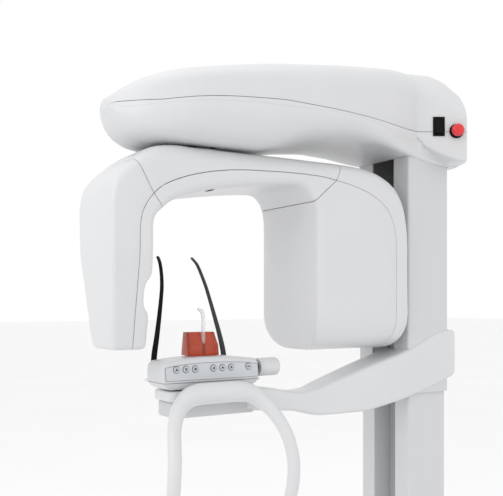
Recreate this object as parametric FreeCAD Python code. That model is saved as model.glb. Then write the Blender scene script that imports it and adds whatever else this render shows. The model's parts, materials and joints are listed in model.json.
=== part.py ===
"""Panoramic dental x-ray unit: telescopic column, overhead arm, rotating C-arm and chin support.

Units are millimetres. The origin is on the floor at the centre of the floor bolt pattern,
which is also the column's axis. +Z is up, the overhead arm reaches towards -Y and the
operator's panel faces +X.
"""
import FreeCAD, Part
import math
import os

V = FreeCAD.Vector
os.makedirs("parts", exist_ok=True)

# ---- driving dimensions -------------------------------------------------------------------
WALL = 4.0                      # plastic and profile wall
GAP = 1.0                       # open joint between neighbouring covers

BASE_W, BASE_FRONT, BASE_REAR, BASE_T = 640.0, -760.0, 160.0, 12.0
FLOOR_BOLT_X, FLOOR_BOLT_Y, FLOOR_BOLT_R = 520.0, 240.0, 7.0
WALL_BOLT_X, WALL_BOLT_Z, WALL_BOLT_R = 180.0, 60.0, 5.5
WALL_PLATE_Z, WALL_PLATE_Y = 780.0, 118.0

COL_X, COL_Y = 94.5, 68.0       # half width and half depth of the fixed column
COL_TOP = 1560.0
RECESS_X, RECESS_D = 42.0, 58.0
SLEEVE_X, SLEEVE_Y = 100.5, 74.0
SLEEVE_BOTTOM, SLEEVE_TOP = 1164.0, 1878.0
SCREW_Y = 32.0                  # axis of the lift screw behind the recess
SCREW_R = 9.0

HEAD_BOTTOM, HEAD_SEAM = 1755.0, 1860.0
HEAD_SEAM_LINE = [(-950.0, 1834.0), (-800.0, 1837.0), (-676.0, 1850.0), (-517.0, HEAD_SEAM),
                  (200.0, HEAD_SEAM)]
HEAD_REAR, NECK_BOTTOM = 108.0, 1780.0   # rear face, and the skirt round the sleeve
RAIL_Z = SLEEVE_TOP + 2.0       # the carriage rails hang below the overhead frame
AXIS_Y = -650.0                 # rotation axis of the C-arm
CARRIAGE_TRAVEL = 40.0
CARRIAGE_Z0, CARRIAGE_Z1 = 1828.0, 1836.0
Y_SCREW_Z, Y_SCREW_R = 1858.0, 5.0
NECK_R, NECK_BORE, HUB_DISC_R = 45.0, 35.0, 68.0

ARM_W = 122.0                   # half width of tube head and beam
SENSOR_W = 101.0
ARM_TOP = 1750.0
TUBE_FRONT, TUBE_SWING_R = -393.0, 570.0
ARM_BOTTOM = 1287.0
RING_R, PINION_R, PINION_Y = 75.0, 15.0, -540.0
PULLEY_Z0, PULLEY_Z1 = 1778.0, 1796.0
SHAFT_R = 5.0

PANEL_X0, PANEL_X1 = -20.0, 73.0
PANEL_Y0, PANEL_Y1 = -775.0, -526.0
PANEL_Z0, PANEL_Z1 = 1228.0, 1282.0
BOWL_Z0, BOWL_Z1 = 1211.0, 1227.0
KEY_R, KEY_Z, KEY_PITCH = 7.0, 1257.0, 23.3
KNOB_R, KNOB_X, KNOB_Z = 22.0, 30.0, 1250.0
KNOB_Y0, KNOB_Y1 = -507.0, -446.0
TEMPLE_X, TEMPLE_HALF, TEMPLE_Z = -42.0, 91.5, 1258.0
BITE_X, BITE_R, BITE_TOP = 20.0, 5.0, 1374.0
BLOCK_X0, BLOCK_X1, BLOCK_HALF, BLOCK_TOP = -16.0, 29.0, 39.0, 1337.0
HANDLE_R, HANDLE_X, HANDLE_Z = 14.5, 96.0, 1204.0

# angled operator's face of the overhead arm, where the switches sit
FACE_A, FACE_B = (108.0, -50.0), (177.0, 60.0)
FACE_LEN = math.hypot(FACE_B[0] - FACE_A[0], FACE_B[1] - FACE_A[1])
FACE_U = V((FACE_B[0] - FACE_A[0]) / FACE_LEN, (FACE_B[1] - FACE_A[1]) / FACE_LEN, 0)
FACE_N = V(FACE_U.y, -FACE_U.x, 0)
ROCKER_S, ROCKER_Z = 57.0, 1874.0
ESTOP_S, ESTOP_Z, ESTOP_R = 104.0, 1862.0, 16.5


# ---- small geometry helpers ---------------------------------------------------------------
def box(x0, x1, y0, y1, z0, z1):
    return Part.makeBox(x1 - x0, y1 - y0, z1 - z0, V(x0, y0, z0))


def rod(radius, start, end):
    start, end = V(*start), V(*end)
    return Part.makeCylinder(radius, (end - start).Length, start, end - start)


def taper(radius, tip, start, end):
    if radius == tip:
        return Part.makeCylinder(radius, (end - start).Length, start, end - start)
    return Part.makeCone(radius, tip, (end - start).Length, start, end - start)


def ring(outer, inner, start, end):
    return rod(outer, start, end).cut(rod(inner, start, end))


def inset_runs(runs, inset):
    """The same runs with every point moved inwards, square to its two neighbours."""
    loop = [point for run in runs for point in run[:-1]]
    count = len(loop)
    area = sum(loop[i - 1][0] * loop[i][1] - loop[i][0] * loop[i - 1][1] for i in range(count))
    turn = 1.0 if area > 0 else -1.0
    moved = []
    for i in range(count):
        (ax, ay), (bx, by), (cx, cy) = loop[i - 1], loop[i], loop[(i + 1) % count]
        first, second = math.hypot(bx - ax, by - ay), math.hypot(cx - bx, cy - by)
        n1 = (-turn * (by - ay) / first, turn * (bx - ax) / first)
        n2 = (-turn * (cy - by) / second, turn * (cx - bx) / second)
        scale = inset / (1.0 + n1[0] * n2[0] + n1[1] * n2[1])
        moved.append((bx + scale * (n1[0] + n2[0]), by + scale * (n1[1] + n2[1])))
    result, start = [], 0
    for run in runs:
        result.append([moved[(start + k) % count] for k in range(len(run))])
        start += len(run) - 1
    return result


def outline(runs, place, inset=0.0):
    """Closed face from runs of points: two points make a line, more make a smooth curve."""
    if inset:
        runs = inset_runs(runs, inset)
    edges = []
    for run in runs:
        points = [place(a, b) for a, b in run]
        if len(points) == 2:
            edges.append(Part.makeLine(points[0], points[1]))
        else:
            curve = Part.BSplineCurve()
            curve.interpolate(points)
            edges.append(curve.toShape())
    return Part.Face(Part.Wire(edges))


def in_plan(a, b):
    return V(a, b, 0)


def in_side(a, b):
    return V(0, a, b)


def in_front(a, b):
    return V(a, 0, b)


def chain(points):
    """Runs of straight lines through the points, closed."""
    return [[points[i], points[(i + 1) % len(points)]] for i in range(len(points))]


def up(face, z0, z1):
    solid = face.extrude(V(0, 0, z1 - z0))
    solid.translate(V(0, 0, z0))
    return solid


def across(face, x0, x1):
    solid = face.extrude(V(x1 - x0, 0, 0))
    solid.translate(V(x0, 0, 0))
    return solid


def along(face, y0, y1):
    solid = face.extrude(V(0, y1 - y0, 0))
    solid.translate(V(0, y0, 0))
    return solid


def rounded_box(x0, x1, y0, y1, z0, z1, radius, axis="Z"):
    solid = box(x0, x1, y0, y1, z0, z1)
    edges = []
    for edge in solid.Edges:
        direction = edge.tangentAt(edge.FirstParameter)
        if abs(getattr(direction, axis.lower())) > 0.99:
            edges.append(edge)
    return solid.makeFillet(radius, edges)


def join(*solids):
    return solids[0].multiFuse(list(solids[1:])).removeSplitter()


def together(*solids):
    """Separate solids that share one node."""
    flat = []
    for solid in solids:
        flat.extend(solid.Solids)
    return Part.makeCompound(flat)


def save(name, shape):
    volume = sum(solid.Volume for solid in shape.Solids)
    print(f"{name:22s} solids {len(shape.Solids):3d}  volume {volume / 1000:10.1f} cm3")
    shape.exportStep(f"parts/{name}.step")


def face_point(s, z, out=0.0):
    """A point on the angled face, s along it from its inner corner, out in front of it."""
    base = V(FACE_A[0], FACE_A[1], 0) + FACE_U * s + FACE_N * out
    return V(base.x, base.y, z)


def on_face(shape, s, z, out=0.0):
    """Place a shape drawn with +X outwards and +Y along the face."""
    angle = math.degrees(math.atan2(FACE_N.y, FACE_N.x))
    shape.rotate(V(0, 0, 0), V(0, 0, 1), angle)
    shape.translate(face_point(s, z, out))
    return shape


# ---- floor stand and fixed column ----------------------------------------------------------
def make_stand():
    plate = rounded_box(-BASE_W / 2, BASE_W / 2, BASE_FRONT, BASE_REAR, 0, BASE_T, 60)
    for sx in (-1, 1):
        for sy in (-1, 1):
            x, y = sx * FLOOR_BOLT_X / 2, sy * FLOOR_BOLT_Y / 2
            plate = plate.cut(rod(FLOOR_BOLT_R, (x, y, -1), (x, y, BASE_T + 1)))
    socket = rounded_box(-COL_X - 8, COL_X + 8, -COL_Y - 8, COL_Y + 8, BASE_T, 120, 12)
    socket = socket.cut(box(-COL_X, COL_X, -COL_Y, COL_Y, BASE_T, 121))
    gusset = across(outline(chain([(0, BASE_T), (70, BASE_T), (0, 110)]), in_side), -4, 4)
    stand = join(plate, socket)
    for x, y, turn in ((-60, COL_Y + 8, 0), (60, COL_Y + 8, 0), (-60, -COL_Y - 8, 180),
                       (60, -COL_Y - 8, 180), (-COL_X - 8, 0, 90), (COL_X + 8, 0, -90)):
        rib = gusset.copy()
        rib.rotate(V(0, 0, 0), V(0, 0, 1), turn)
        rib.translate(V(x, y, 0))
        stand = join(stand, rib)
    save("base_plate", stand)


def c_profile(half_x, half_y, wall, mouth, depth):
    """Hollow column section with a channel sunk into its front."""
    outer = rounded_box(-half_x, half_x, -half_y, half_y, 0, 1, 6)
    inner = box(-half_x + wall, half_x - wall, -half_y + wall, half_y - wall, 0, 1)
    channel = box(-mouth - wall, mouth + wall, -half_y, -half_y + depth + wall, 0, 1)
    slot = box(-mouth, mouth, -half_y - 1, -half_y + depth, 0, 1)
    return outer.cut(inner.cut(channel)).cut(slot)


def stretch(section, z0, z1):
    """Pull a 1 mm thick section up to a full profile."""
    bottom = [face for face in section.Faces if face.BoundBox.ZMax < 0.01]
    solid = bottom[0].extrude(V(0, 0, z1 - z0))
    solid.translate(V(0, 0, z0))
    return solid


def make_column():
    section = c_profile(COL_X - 0.1, COL_Y - 0.1, WALL, RECESS_X, RECESS_D)
    save("column_profile", stretch(section, BASE_T, COL_TOP))
    strip_y = -COL_Y + RECESS_D - 3.2
    save("recess_cover", box(-RECESS_X + 1, RECESS_X - 1, strip_y, strip_y + 3, 124, COL_TOP - 4))

    plate = box(-WALL_BOLT_X / 2 - 25, WALL_BOLT_X / 2 + 25, WALL_PLATE_Y - 6, WALL_PLATE_Y,
                WALL_PLATE_Z - 55, WALL_PLATE_Z + 55)
    web = box(-70, 70, COL_Y, WALL_PLATE_Y - 6, WALL_PLATE_Z - 4, WALL_PLATE_Z + 4)
    foot = box(-80, 80, COL_Y, COL_Y + 5, WALL_PLATE_Z - 40, WALL_PLATE_Z + 40)
    bracket = join(plate, web, foot)
    for sx in (-1, 1):
        for sz in (-1, 1):
            x, z = sx * WALL_BOLT_X / 2, WALL_PLATE_Z + sz * WALL_BOLT_Z / 2
            bracket = bracket.cut(rod(WALL_BOLT_R, (x, WALL_PLATE_Y - 8, z), (x, WALL_PLATE_Y + 1, z)))
    save("wall_bracket", bracket)


def make_lift():
    body = rounded_box(-30, 30, SCREW_Y - 27, SCREW_Y + 28, 40, 190, 10)
    flange = box(-70, 70, SCREW_Y - 27, SCREW_Y + 28, 190, 200)
    nose = ring(22, SCREW_R + 0.5, (0, SCREW_Y, 200), (0, SCREW_Y, 224))
    motor = join(body, flange, nose)
    motor = motor.cut(rod(SCREW_R + 0.5, (0, SCREW_Y, 170), (0, SCREW_Y, 210)))
    save("lift_motor", motor)

    screw = rod(SCREW_R, (0, SCREW_Y, 172), (0, SCREW_Y, 1480))
    collar = ring(14, SCREW_R - 0.01, (0, SCREW_Y, 226), (0, SCREW_Y, 240))
    save("lead_screw", join(screw, collar))

    tube = ring(15, 11.5, (0, SCREW_Y, 1180), (0, SCREW_Y, SLEEVE_TOP + 2))
    nut = ring(22, SCREW_R + 0.4, (0, SCREW_Y, 1150), (0, SCREW_Y, 1180))
    save("push_tube", join(tube, nut))


def make_sleeve():
    outer = rounded_box(-SLEEVE_X, SLEEVE_X, -SLEEVE_Y, SLEEVE_Y, SLEEVE_BOTTOM, SLEEVE_TOP, 7)
    inner = box(-SLEEVE_X + WALL, SLEEVE_X - WALL, -SLEEVE_Y + WALL, SLEEVE_Y - WALL,
                SLEEVE_BOTTOM - 1, SLEEVE_TOP + 1)
    mouth = box(-RECESS_X - 1, RECESS_X + 1, -SLEEVE_Y - 1, -SLEEVE_Y + WALL + 1,
                SLEEVE_BOTTOM - 1, SLEEVE_TOP + 1)
    save("sleeve_profile", outer.cut(inner).cut(mouth))

    pads = []
    thick = 1.8
    for z in (SLEEVE_BOTTOM + 20, SLEEVE_BOTTOM + 260):
        for side in (-1, 1):
            x = side * (SLEEVE_X - WALL)
            pads.append(box(min(x, x - side * thick), max(x, x - side * thick), -45, 45, z, z + 80))
            y = side * (SLEEVE_Y - WALL)
            for x0 in (-85, 55):
                pads.append(box(x0, x0 + 30, min(y, y - side * thick), max(y, y - side * thick), z, z + 80))
    save("sleeve_glides", together(*pads))


# ---- overhead arm --------------------------------------------------------------------------
def overhead_plan(inset):
    right = [(0, -890), (60, -860), (112, -810), (152, -735), (171, -640), (176, -540), (174, -420),
             (162, -280), (128, -140), FACE_A]
    left = [(-x, y) for x, y in reversed(right)]
    corner = [FACE_B, (177, 67), (168, 77), (150, 88), (125, 98), (95, 104)]
    far_corner = [(-x, y) for x, y in reversed(corner)]
    runs = [left + right[1:], [FACE_A, FACE_B], corner, [corner[-1], far_corner[0]],
            far_corner, [(-FACE_B[0], FACE_B[1]), (-FACE_A[0], FACE_A[1])]]
    return outline(runs, in_plan, inset)


def overhead_side(inset):
    top = [(-884, 1822), (-880, 1848), (-848, 1878), (-790, 1905), (-679, 1930), (-524, 1959),
           (-400, 1979), (-223, 2007), (-86, 2028), (0, 2028), (50, 2012), (85, 1980), (HEAD_REAR, 1925)]
    under = [(-560, HEAD_BOTTOM + 1), (-500, 1765), (-450, 1780), (-400, 1790), (-340, 1798), (-250, 1807),
             (-190, 1808), (-125, 1800)]
    nose = [(-790, HEAD_BOTTOM), (-838, 1765), (-870, 1790), (-884, 1822)]
    rear_foot, neck_front = (HEAD_REAR, NECK_BOTTOM), (-100, NECK_BOTTOM)
    runs = [top, [top[-1], rear_foot], [rear_foot, neck_front], [neck_front, under[-1]],
            list(reversed(under)), [under[0], nose[0]], nose]
    return outline(runs, in_side, inset)


def overhead_body(inset):
    plan = up(overhead_plan(inset), 1700, 2050)
    side = across(overhead_side(inset), -200, 200)
    body = plan.common(side)
    # long bevels under the two flanks
    for sign in (-1, 1):
        near, far, beyond = sign * (118 - inset), sign * (180 - inset), sign * 240
        low = outline(chain([(near, 1700), (near, HEAD_BOTTOM + inset), (far, 1826), (beyond, 1826),
                             (beyond, 1700)]), in_front)
        body = body.cut(along(low, -900, -58))
        near = sign * (90 - inset)
        high = outline(chain([(near, 2034 - inset), (far, 1925 - inset), (beyond, 1850), (beyond, 2060),
                              (near, 2060)]), in_front)
        body = body.cut(along(high, -900, HEAD_REAR + 2))
    return body


def make_overhead_covers():
    shell = overhead_body(0).cut(overhead_body(WALL))
    sleeve_hole = box(-SLEEVE_X - 1, SLEEVE_X + 1, -SLEEVE_Y - 1, SLEEVE_Y + 1, 1700, HEAD_SEAM)
    slot_r, forward_y = NECK_R + 6, AXIS_Y - CARRIAGE_TRAVEL
    slot = join(rod(slot_r, (0, AXIS_Y, 1740), (0, AXIS_Y, 1775)),
                rod(slot_r, (0, forward_y, 1740), (0, forward_y, 1775)),
                box(-slot_r, slot_r, forward_y, AXIS_Y, 1740, 1775))
    rocker_hole = on_face(box(-20, 5, -13, 13, -23, 23), ROCKER_S, ROCKER_Z)
    estop_hole = rod(12, tuple(face_point(ESTOP_S, ESTOP_Z, -20)), tuple(face_point(ESTOP_S, ESTOP_Z, 5)))
    inlet_hole = box(-40, 0, 95, 110, 1812, 1842)
    shell = shell.cut(sleeve_hole).cut(slot).cut(rocker_hole).cut(estop_hole).cut(inlet_hole)
    halves = (("overhead_lower_cover", -GAP / 2, 1700), ("overhead_upper_cover", GAP / 2, 2100))
    for name, shift, end in halves:
        seam = [(y, z + shift) for y, z in HEAD_SEAM_LINE]
        zone = outline(chain(seam + [(seam[-1][0], end), (seam[0][0], end)]), in_side)
        save(name, shell.common(across(zone, -250, 250)))


def make_overhead_frame():
    plate = box(-95, 95, -770, 96, SLEEVE_TOP + 2, SLEEVE_TOP + 10)
    window = box(-50, 50, -760, -360, SLEEVE_TOP, SLEEVE_TOP + 12)
    ribs = [box(x, x + 5, -700, 90, SLEEVE_TOP + 10, SLEEVE_TOP + 24) for x in (-95, 90)]
    cap = box(-SLEEVE_X, SLEEVE_X, -SLEEVE_Y, SLEEVE_Y, SLEEVE_TOP, SLEEVE_TOP + 2)
    frame = join(plate.cut(window), cap, *ribs)
    frame = frame.cut(rod(15.2, (0, SCREW_Y, SLEEVE_TOP - 1), (0, SCREW_Y, SLEEVE_TOP + 3)))
    save("overhead_frame", frame)

    rails = [box(x - 7.5, x + 7.5, -765, -400, RAIL_Z - 15, RAIL_Z) for x in (-75, 75)]
    save("y_rails", together(*rails))

    bore = Y_SCREW_R + 0.6
    collar = ring(9, bore, (0, -340, Y_SCREW_Z), (0, -330, Y_SCREW_Z))
    motor = join(box(-22, 22, -330, -285, Y_SCREW_Z - 22, Y_SCREW_Z + 22), collar)
    motor = motor.cut(rod(bore, (0, -345, Y_SCREW_Z), (0, -310, Y_SCREW_Z)))
    save("carriage_motor", motor)

    supply = box(-80, 80, -260, -75, SLEEVE_TOP + 10, SLEEVE_TOP + 50)
    lid = box(-74, 74, -254, -81, SLEEVE_TOP + 50, SLEEVE_TOP + 52)
    save("power_supply", join(supply, lid))


def make_switches():
    frame = box(0, 2.5, -15.5, 15.5, -25.5, 25.5)
    tub = box(-16, 0, -12.7, 12.7, -22.7, 22.7)
    bezel = join(frame, tub).cut(box(-13, 3, -10.6, 10.6, -20.6, 20.6))
    save("rocker_bezel", on_face(bezel, ROCKER_S, ROCKER_Z, 0.0))

    paddle = outline([[(-3, -19), (4.2, -19)], [(4.2, -19), (2.4, 0), (4.2, 19)],
                      [(4.2, 19), (-3, 19)], [(-3, 19), (-3, -19)]], in_front)
    key = join(along(paddle, -9.8, 9.8), rod(2.0, (0, -10.4, 0), (0, 10.4, 0)))
    key.rotate(V(0, 0, 0), V(0, 1, 0), -5)
    save("power_rocker", on_face(key, ROCKER_S, ROCKER_Z, 0.5))

    ring_out = tuple(face_point(ESTOP_S, ESTOP_Z, 5))
    ring_in = tuple(face_point(ESTOP_S, ESTOP_Z, 0.2))
    inner = tuple(face_point(ESTOP_S, ESTOP_Z, -34))
    mouth = tuple(face_point(ESTOP_S, ESTOP_Z, 6))
    stop = join(rod(19, ring_in, ring_out), rod(11.5, inner, ring_in))
    floor_point = tuple(face_point(ESTOP_S, ESTOP_Z, -26))
    save("estop_base", stop.cut(rod(6.06, floor_point, mouth)))

    stem = rod(6.0, tuple(face_point(ESTOP_S, ESTOP_Z, -18)), tuple(face_point(ESTOP_S, ESTOP_Z, 13)))
    save("estop_stem", stem)
    dome = [(ESTOP_R, 18), (ESTOP_R - 3, 23), (8, 25.6), (0, 26)]
    profile = outline([[(0, 13.2), (8, 13.2)], [(8, 13.2), (ESTOP_R, 14)], [(ESTOP_R, 14), dome[0]],
                       dome, [dome[-1], (0, 13.2)]], in_front)
    mushroom = profile.revolve(V(0, 0, 0), V(0, 0, 1), 360)
    mushroom.rotate(V(0, 0, 0), V(0, 1, 0), 90)
    save("estop_button", on_face(mushroom, ESTOP_S, ESTOP_Z))

    inlet = join(box(-39, -1, 90, 106, 1813, 1841), box(-34, -6, 78, 90, 1817, 1837))
    inlet = inlet.cut(box(-32, -8, 88, 110, 1819, 1835))
    save("mains_inlet", inlet)


# ---- moving carriage with the rotation drive -------------------------------------------------
def make_carriage():
    plate = box(-95, 95, -740, -420, CARRIAGE_Z0, CARRIAGE_Z1)
    plate = plate.cut(rod(NECK_R + 5, (0, AXIS_Y, CARRIAGE_Z0 - 1), (0, AXIS_Y, CARRIAGE_Z1 + 1)))
    plate = plate.cut(rod(PINION_R + 3, (0, PINION_Y, CARRIAGE_Z0 - 1), (0, PINION_Y, CARRIAGE_Z1 + 1)))
    nut = box(-15, 15, -455, -430, CARRIAGE_Z1, Y_SCREW_Z + 14)
    nut = nut.cut(rod(Y_SCREW_R + 0.05, (0, -460, Y_SCREW_Z), (0, -425, Y_SCREW_Z)))
    blocks = []
    for x in (-75, 75):
        for y in (-720, -490):
            block = box(x - 17, x + 17, y, y + 50, CARRIAGE_Z1, RAIL_Z - 4)
            blocks.append(block.cut(box(x - 7.8, x + 7.8, y - 1, y + 51, RAIL_Z - 15.5, RAIL_Z)))
    save("y_carriage", join(plate, nut, *blocks))

    race = NECK_R + 4
    bearing = ring(62, race, (0, AXIS_Y, CARRIAGE_Z0 - 25), (0, AXIS_Y, CARRIAGE_Z0))
    flange = ring(74, race, (0, AXIS_Y, CARRIAGE_Z0 - 10), (0, AXIS_Y, CARRIAGE_Z0))
    save("bearing_outer_ring", join(bearing, flange))

    case = rounded_box(-28, 28, PINION_Y - 28, PINION_Y + 28, CARRIAGE_Z1, CARRIAGE_Z1 + 58, 6)
    case = case.cut(rod(PINION_R + 3, (0, PINION_Y, CARRIAGE_Z1 - 6), (0, PINION_Y, CARRIAGE_Z1 + 10)))
    case = case.cut(rod(SHAFT_R + 0.05, (0, PINION_Y, CARRIAGE_Z1), (0, PINION_Y, CARRIAGE_Z1 + 34)))
    save("rotation_motor", case)

    pinion = join(rod(PINION_R, (0, PINION_Y, PULLEY_Z0), (0, PINION_Y, PULLEY_Z1)),
                  rod(SHAFT_R, (0, PINION_Y, PULLEY_Z0 - 8), (0, PINION_Y, CARRIAGE_Z1 + 32)))
    save("motor_pulley", pinion)

    save("drive_belt", make_belt())

    screw = rod(Y_SCREW_R, (0, -490, Y_SCREW_Z), (0, -312, Y_SCREW_Z))
    collar = rod(7.5, (0, -352, Y_SCREW_Z), (0, -343, Y_SCREW_Z))
    save("y_screw", join(screw, collar))


def belt_face(extra):
    """Loop that wraps the ring pulley and the motor pulley at a distance from them."""
    big, small = RING_R + extra, PINION_R + extra
    distance = PINION_Y - AXIS_Y
    lean = math.asin((big - small) / distance)
    across_x, forward = math.cos(lean), math.sin(lean)
    edges = []
    big_right = V(big * across_x, AXIS_Y + big * forward, 0)
    small_right = V(small * across_x, PINION_Y + small * forward, 0)
    small_left = V(-small_right.x, small_right.y, 0)
    big_left = V(-big_right.x, big_right.y, 0)
    edges.append(Part.makeLine(big_right, small_right))
    edges.append(Part.Arc(small_right, V(0, PINION_Y + small, 0), small_left).toShape())
    edges.append(Part.makeLine(small_left, big_left))
    edges.append(Part.Arc(big_left, V(0, AXIS_Y - big, 0), big_right).toShape())
    return Part.Face(Part.Wire(edges))


def make_belt():
    loop = up(belt_face(2.6), PULLEY_Z0 + 2, PULLEY_Z1 - 2)
    return loop.cut(up(belt_face(0.4), PULLEY_Z0 + 1, PULLEY_Z1 - 1))


# ---- rotating C-arm --------------------------------------------------------------------------
def arm_inner_runs():
    """Side view of the opening, from the sensor head's foot to the tube head's foot."""
    return [[(-809, 1303), (-809, 1377)], [(-809, 1377), (-824, 1400)], [(-824, 1400), (-824, 1441)],
            [(-824, 1441), (-809, 1466)], [(-809, 1466), (-809, 1572)],
            [(-809, 1572), (-803, 1594), (-786, 1612), (-740, 1636), (-650, 1658), (-560, 1672),
             (-470, 1683), (-432, 1681), (-405, 1660), (TUBE_FRONT, 1618)],
            [(TUBE_FRONT, 1618), (TUBE_FRONT, 1310)]]


def arm_side(inset):
    outer = [[(TUBE_FRONT, 1310), (-388, 1296), (-368, 1290)],
             [(-368, 1290), (-180, ARM_BOTTOM)],
             [(-180, ARM_BOTTOM), (-130, 1290), (-98, 1308), (-80, 1350)],
             [(-80, 1350), (-78, 1560)],
             [(-78, 1560), (-86, 1640), (-110, 1700), (-157, 1732), (-218, 1746), (-300, ARM_TOP)],
             [(-300, ARM_TOP), (-750, ARM_TOP)],
             [(-750, ARM_TOP), (-799, 1733), (-857, 1696), (-893, 1660), (-907, 1610)],
             [(-907, 1610), (-906, 1510)],
             [(-906, 1510), (-893, 1345)],
             [(-893, 1345), (-886, 1312), (-872, 1303)],
             [(-872, 1303), (-809, 1303)]]
    return outline(arm_inner_runs() + outer, in_side, inset)


def arm_plan(inset):
    rear_y = AXIS_Y + math.sqrt(TUBE_SWING_R ** 2 - ARM_W ** 2)
    side = [(ARM_W, rear_y), (ARM_W, -400)]
    taper = [(ARM_W, -400), (SENSOR_W, -800)]
    head = [(SENSOR_W, -800), (SENSOR_W, -893)]
    corner = [(SENSOR_W, -893), (SENSOR_W - 14, -907)]
    runs = [side, taper, head, corner, [corner[1], (-corner[1][0], corner[1][1])]]
    for run in (corner, head, taper, side):
        runs.append([(-x, y) for x, y in reversed(run)])
    rear = [(-ARM_W, rear_y)]
    for step in range(1, 6):
        x = -ARM_W + step * ARM_W / 3
        rear.append((x, AXIS_Y + math.sqrt(TUBE_SWING_R ** 2 - x ** 2)))
    rear.append((ARM_W, rear_y))
    return outline(runs + [rear], in_plan, inset)


def arm_body(inset):
    body = across(arm_side(inset), -200, 200).common(up(arm_plan(inset), 1200, 1800))
    for sign in (-1, 1):
        # the sensor head narrows towards its foot
        beyond = sign * 160
        flank = outline(chain([(sign * (62 - inset), 1280), (sign * (70 - inset), 1354),
                               (sign * (SENSOR_W - inset), 1514), (beyond, 1514), (beyond, 1280)]), in_front)
        body = body.cut(along(flank, -950, -770))
        # bevels along the top and the foot of the tube head
        near, far = sign * (84 - inset), sign * (ARM_W + 3 - inset)
        crown = outline(chain([(near, ARM_TOP + 4 - inset), (far, ARM_TOP - 46 - inset), (beyond, 1600),
                               (beyond, 1800), (near, 1800)]), in_front)
        body = body.cut(along(crown, -950, -30))
        near, far = sign * (ARM_W - 26 - inset), sign * (ARM_W + 2 - inset)
        foot = outline(chain([(near, ARM_BOTTOM - 2 + inset), (far, ARM_BOTTOM + 26 + inset), (beyond, 1313),
                              (beyond, 1250), (near, 1250)]), in_front)
        body = body.cut(along(foot, -500, -30))
    return body


def seam_side(inset):
    """Side view of everything inside the long seam of the C-arm."""
    runs = [[(-843, 1250), (-843, 1590)],
            [(-843, 1590), (-813, 1637), (-700, 1692), (-572, 1706), (-340, 1704), (-238, 1683),
             (-168, 1648), (-140, 1588)],
            [(-140, 1588), (-138, 1250)],
            [(-138, 1250), (-843, 1250)]]
    return outline(runs, in_side, inset)


def make_arm_covers():
    shell = arm_body(0).cut(arm_body(WALL))
    hub_hole = rod(NECK_R + 1, (0, AXIS_Y, ARM_TOP - 60), (0, AXIS_Y, ARM_TOP + 10))
    shell = shell.cut(hub_hole)
    inside = across(seam_side(0), -200, 200)
    inside_clear = across(seam_side(-GAP), -200, 200)
    inner = shell.common(inside)
    outer = shell.cut(inside_clear)

    left, right, half = -825.0, -340.0, GAP / 2
    outer_sensor = box(-200, 200, -950, left - half, 1200, 1800)
    outer_beam = box(-200, 200, left + half, right - half, 1600, 1800)
    outer_tube = box(-200, 200, right + half, 0, 1200, 1800)
    save("sensor_outer_cover", outer.common(outer_sensor))
    save("beam_upper_cover", outer.common(outer_beam))
    save("tube_outer_cover", outer.common(outer_tube))

    split_left, split_right = [(-822, 1650), (-786, 1600)], [(-339, 1712), (-396, 1640)]
    sensor_zone = outline(chain([(-950, 1200), (-700, 1200), (-700, 1590), split_left[1], split_left[0],
                                 (-950, 1650)]), in_side)
    tube_zone = outline(chain([split_right[1], split_right[0], (-30, 1712), (-30, 1200), (-450, 1200),
                               (-450, 1640)]), in_side)
    save("sensor_inner_cover", inner.common(across(sensor_zone, -200, 200)))
    save("tube_inner_cover", inner.common(across(tube_zone, -200, 200)))
    left_top, left_low = split_left[0][0] + GAP, split_left[1][0] + GAP
    right_top, right_low = split_right[0][0] - GAP, split_right[1][0] - GAP
    beam_zone = outline(chain([(left_top, 1650), (left_low, 1600), (left_low, 1500), (right_low, 1500),
                               (right_low, 1640), (right_top, 1712), (right_top, 1760), (left_top, 1760)]),
                        in_side)
    save("beam_lower_cover", inner.common(across(beam_zone, -200, 200)))


def make_arm_inside():
    profile = outline(chain([(-800, 1722), (-175, 1722), (-150, 1705), (-150, 1400), (-158, 1400),
                             (-158, 1700), (-178, 1712), (-796, 1712), (-854, 1668), (-854, 1420),
                             (-862, 1420), (-862, 1672)]), in_side)
    frame = across(profile, -55, 55).cut(rod(NECK_BORE, (0, AXIS_Y, 1710), (0, AXIS_Y, 1730)))
    save("c_arm_frame", frame)

    neck = ring(NECK_R, NECK_BORE, (0, AXIS_Y, 1722), (0, AXIS_Y, CARRIAGE_Z0 - 2))
    disc = ring(HUB_DISC_R, NECK_BORE, (0, AXIS_Y, ARM_TOP + 0.3), (0, AXIS_Y, ARM_TOP + 2.3))
    rim = ring(RING_R, NECK_BORE, (0, AXIS_Y, PULLEY_Z0), (0, AXIS_Y, PULLEY_Z1))
    seat = ring(NECK_R + 3.95, NECK_BORE, (0, AXIS_Y, CARRIAGE_Z0 - 24), (0, AXIS_Y, CARRIAGE_Z0 - 4))
    save("hub_neck", join(neck, disc, rim, seat))

    save("sensor_panel", box(-50, 50, -852, -830, 1330, 1590))

    tank = rounded_box(-85, 85, -350, -160, 1380, 1600, 12)
    tank = tank.cut(box(-79, 79, -344, -166, 1386, 1594))
    tank = tank.cut(box(-13, 13, -352, -340, 1405, 1515))
    save("tube_tank", tank)
    bulb = join(rod(24, (-50, -255, 1460), (50, -255, 1460)), rod(13, (-72, -255, 1460), (72, -255, 1460)))
    save("xray_tube", bulb)
    slit = box(-24, 24, -366, -350.5, 1392, 1528).cut(box(-3, 3, -367, -350, 1410, 1510))
    save("collimator", slit)


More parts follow.
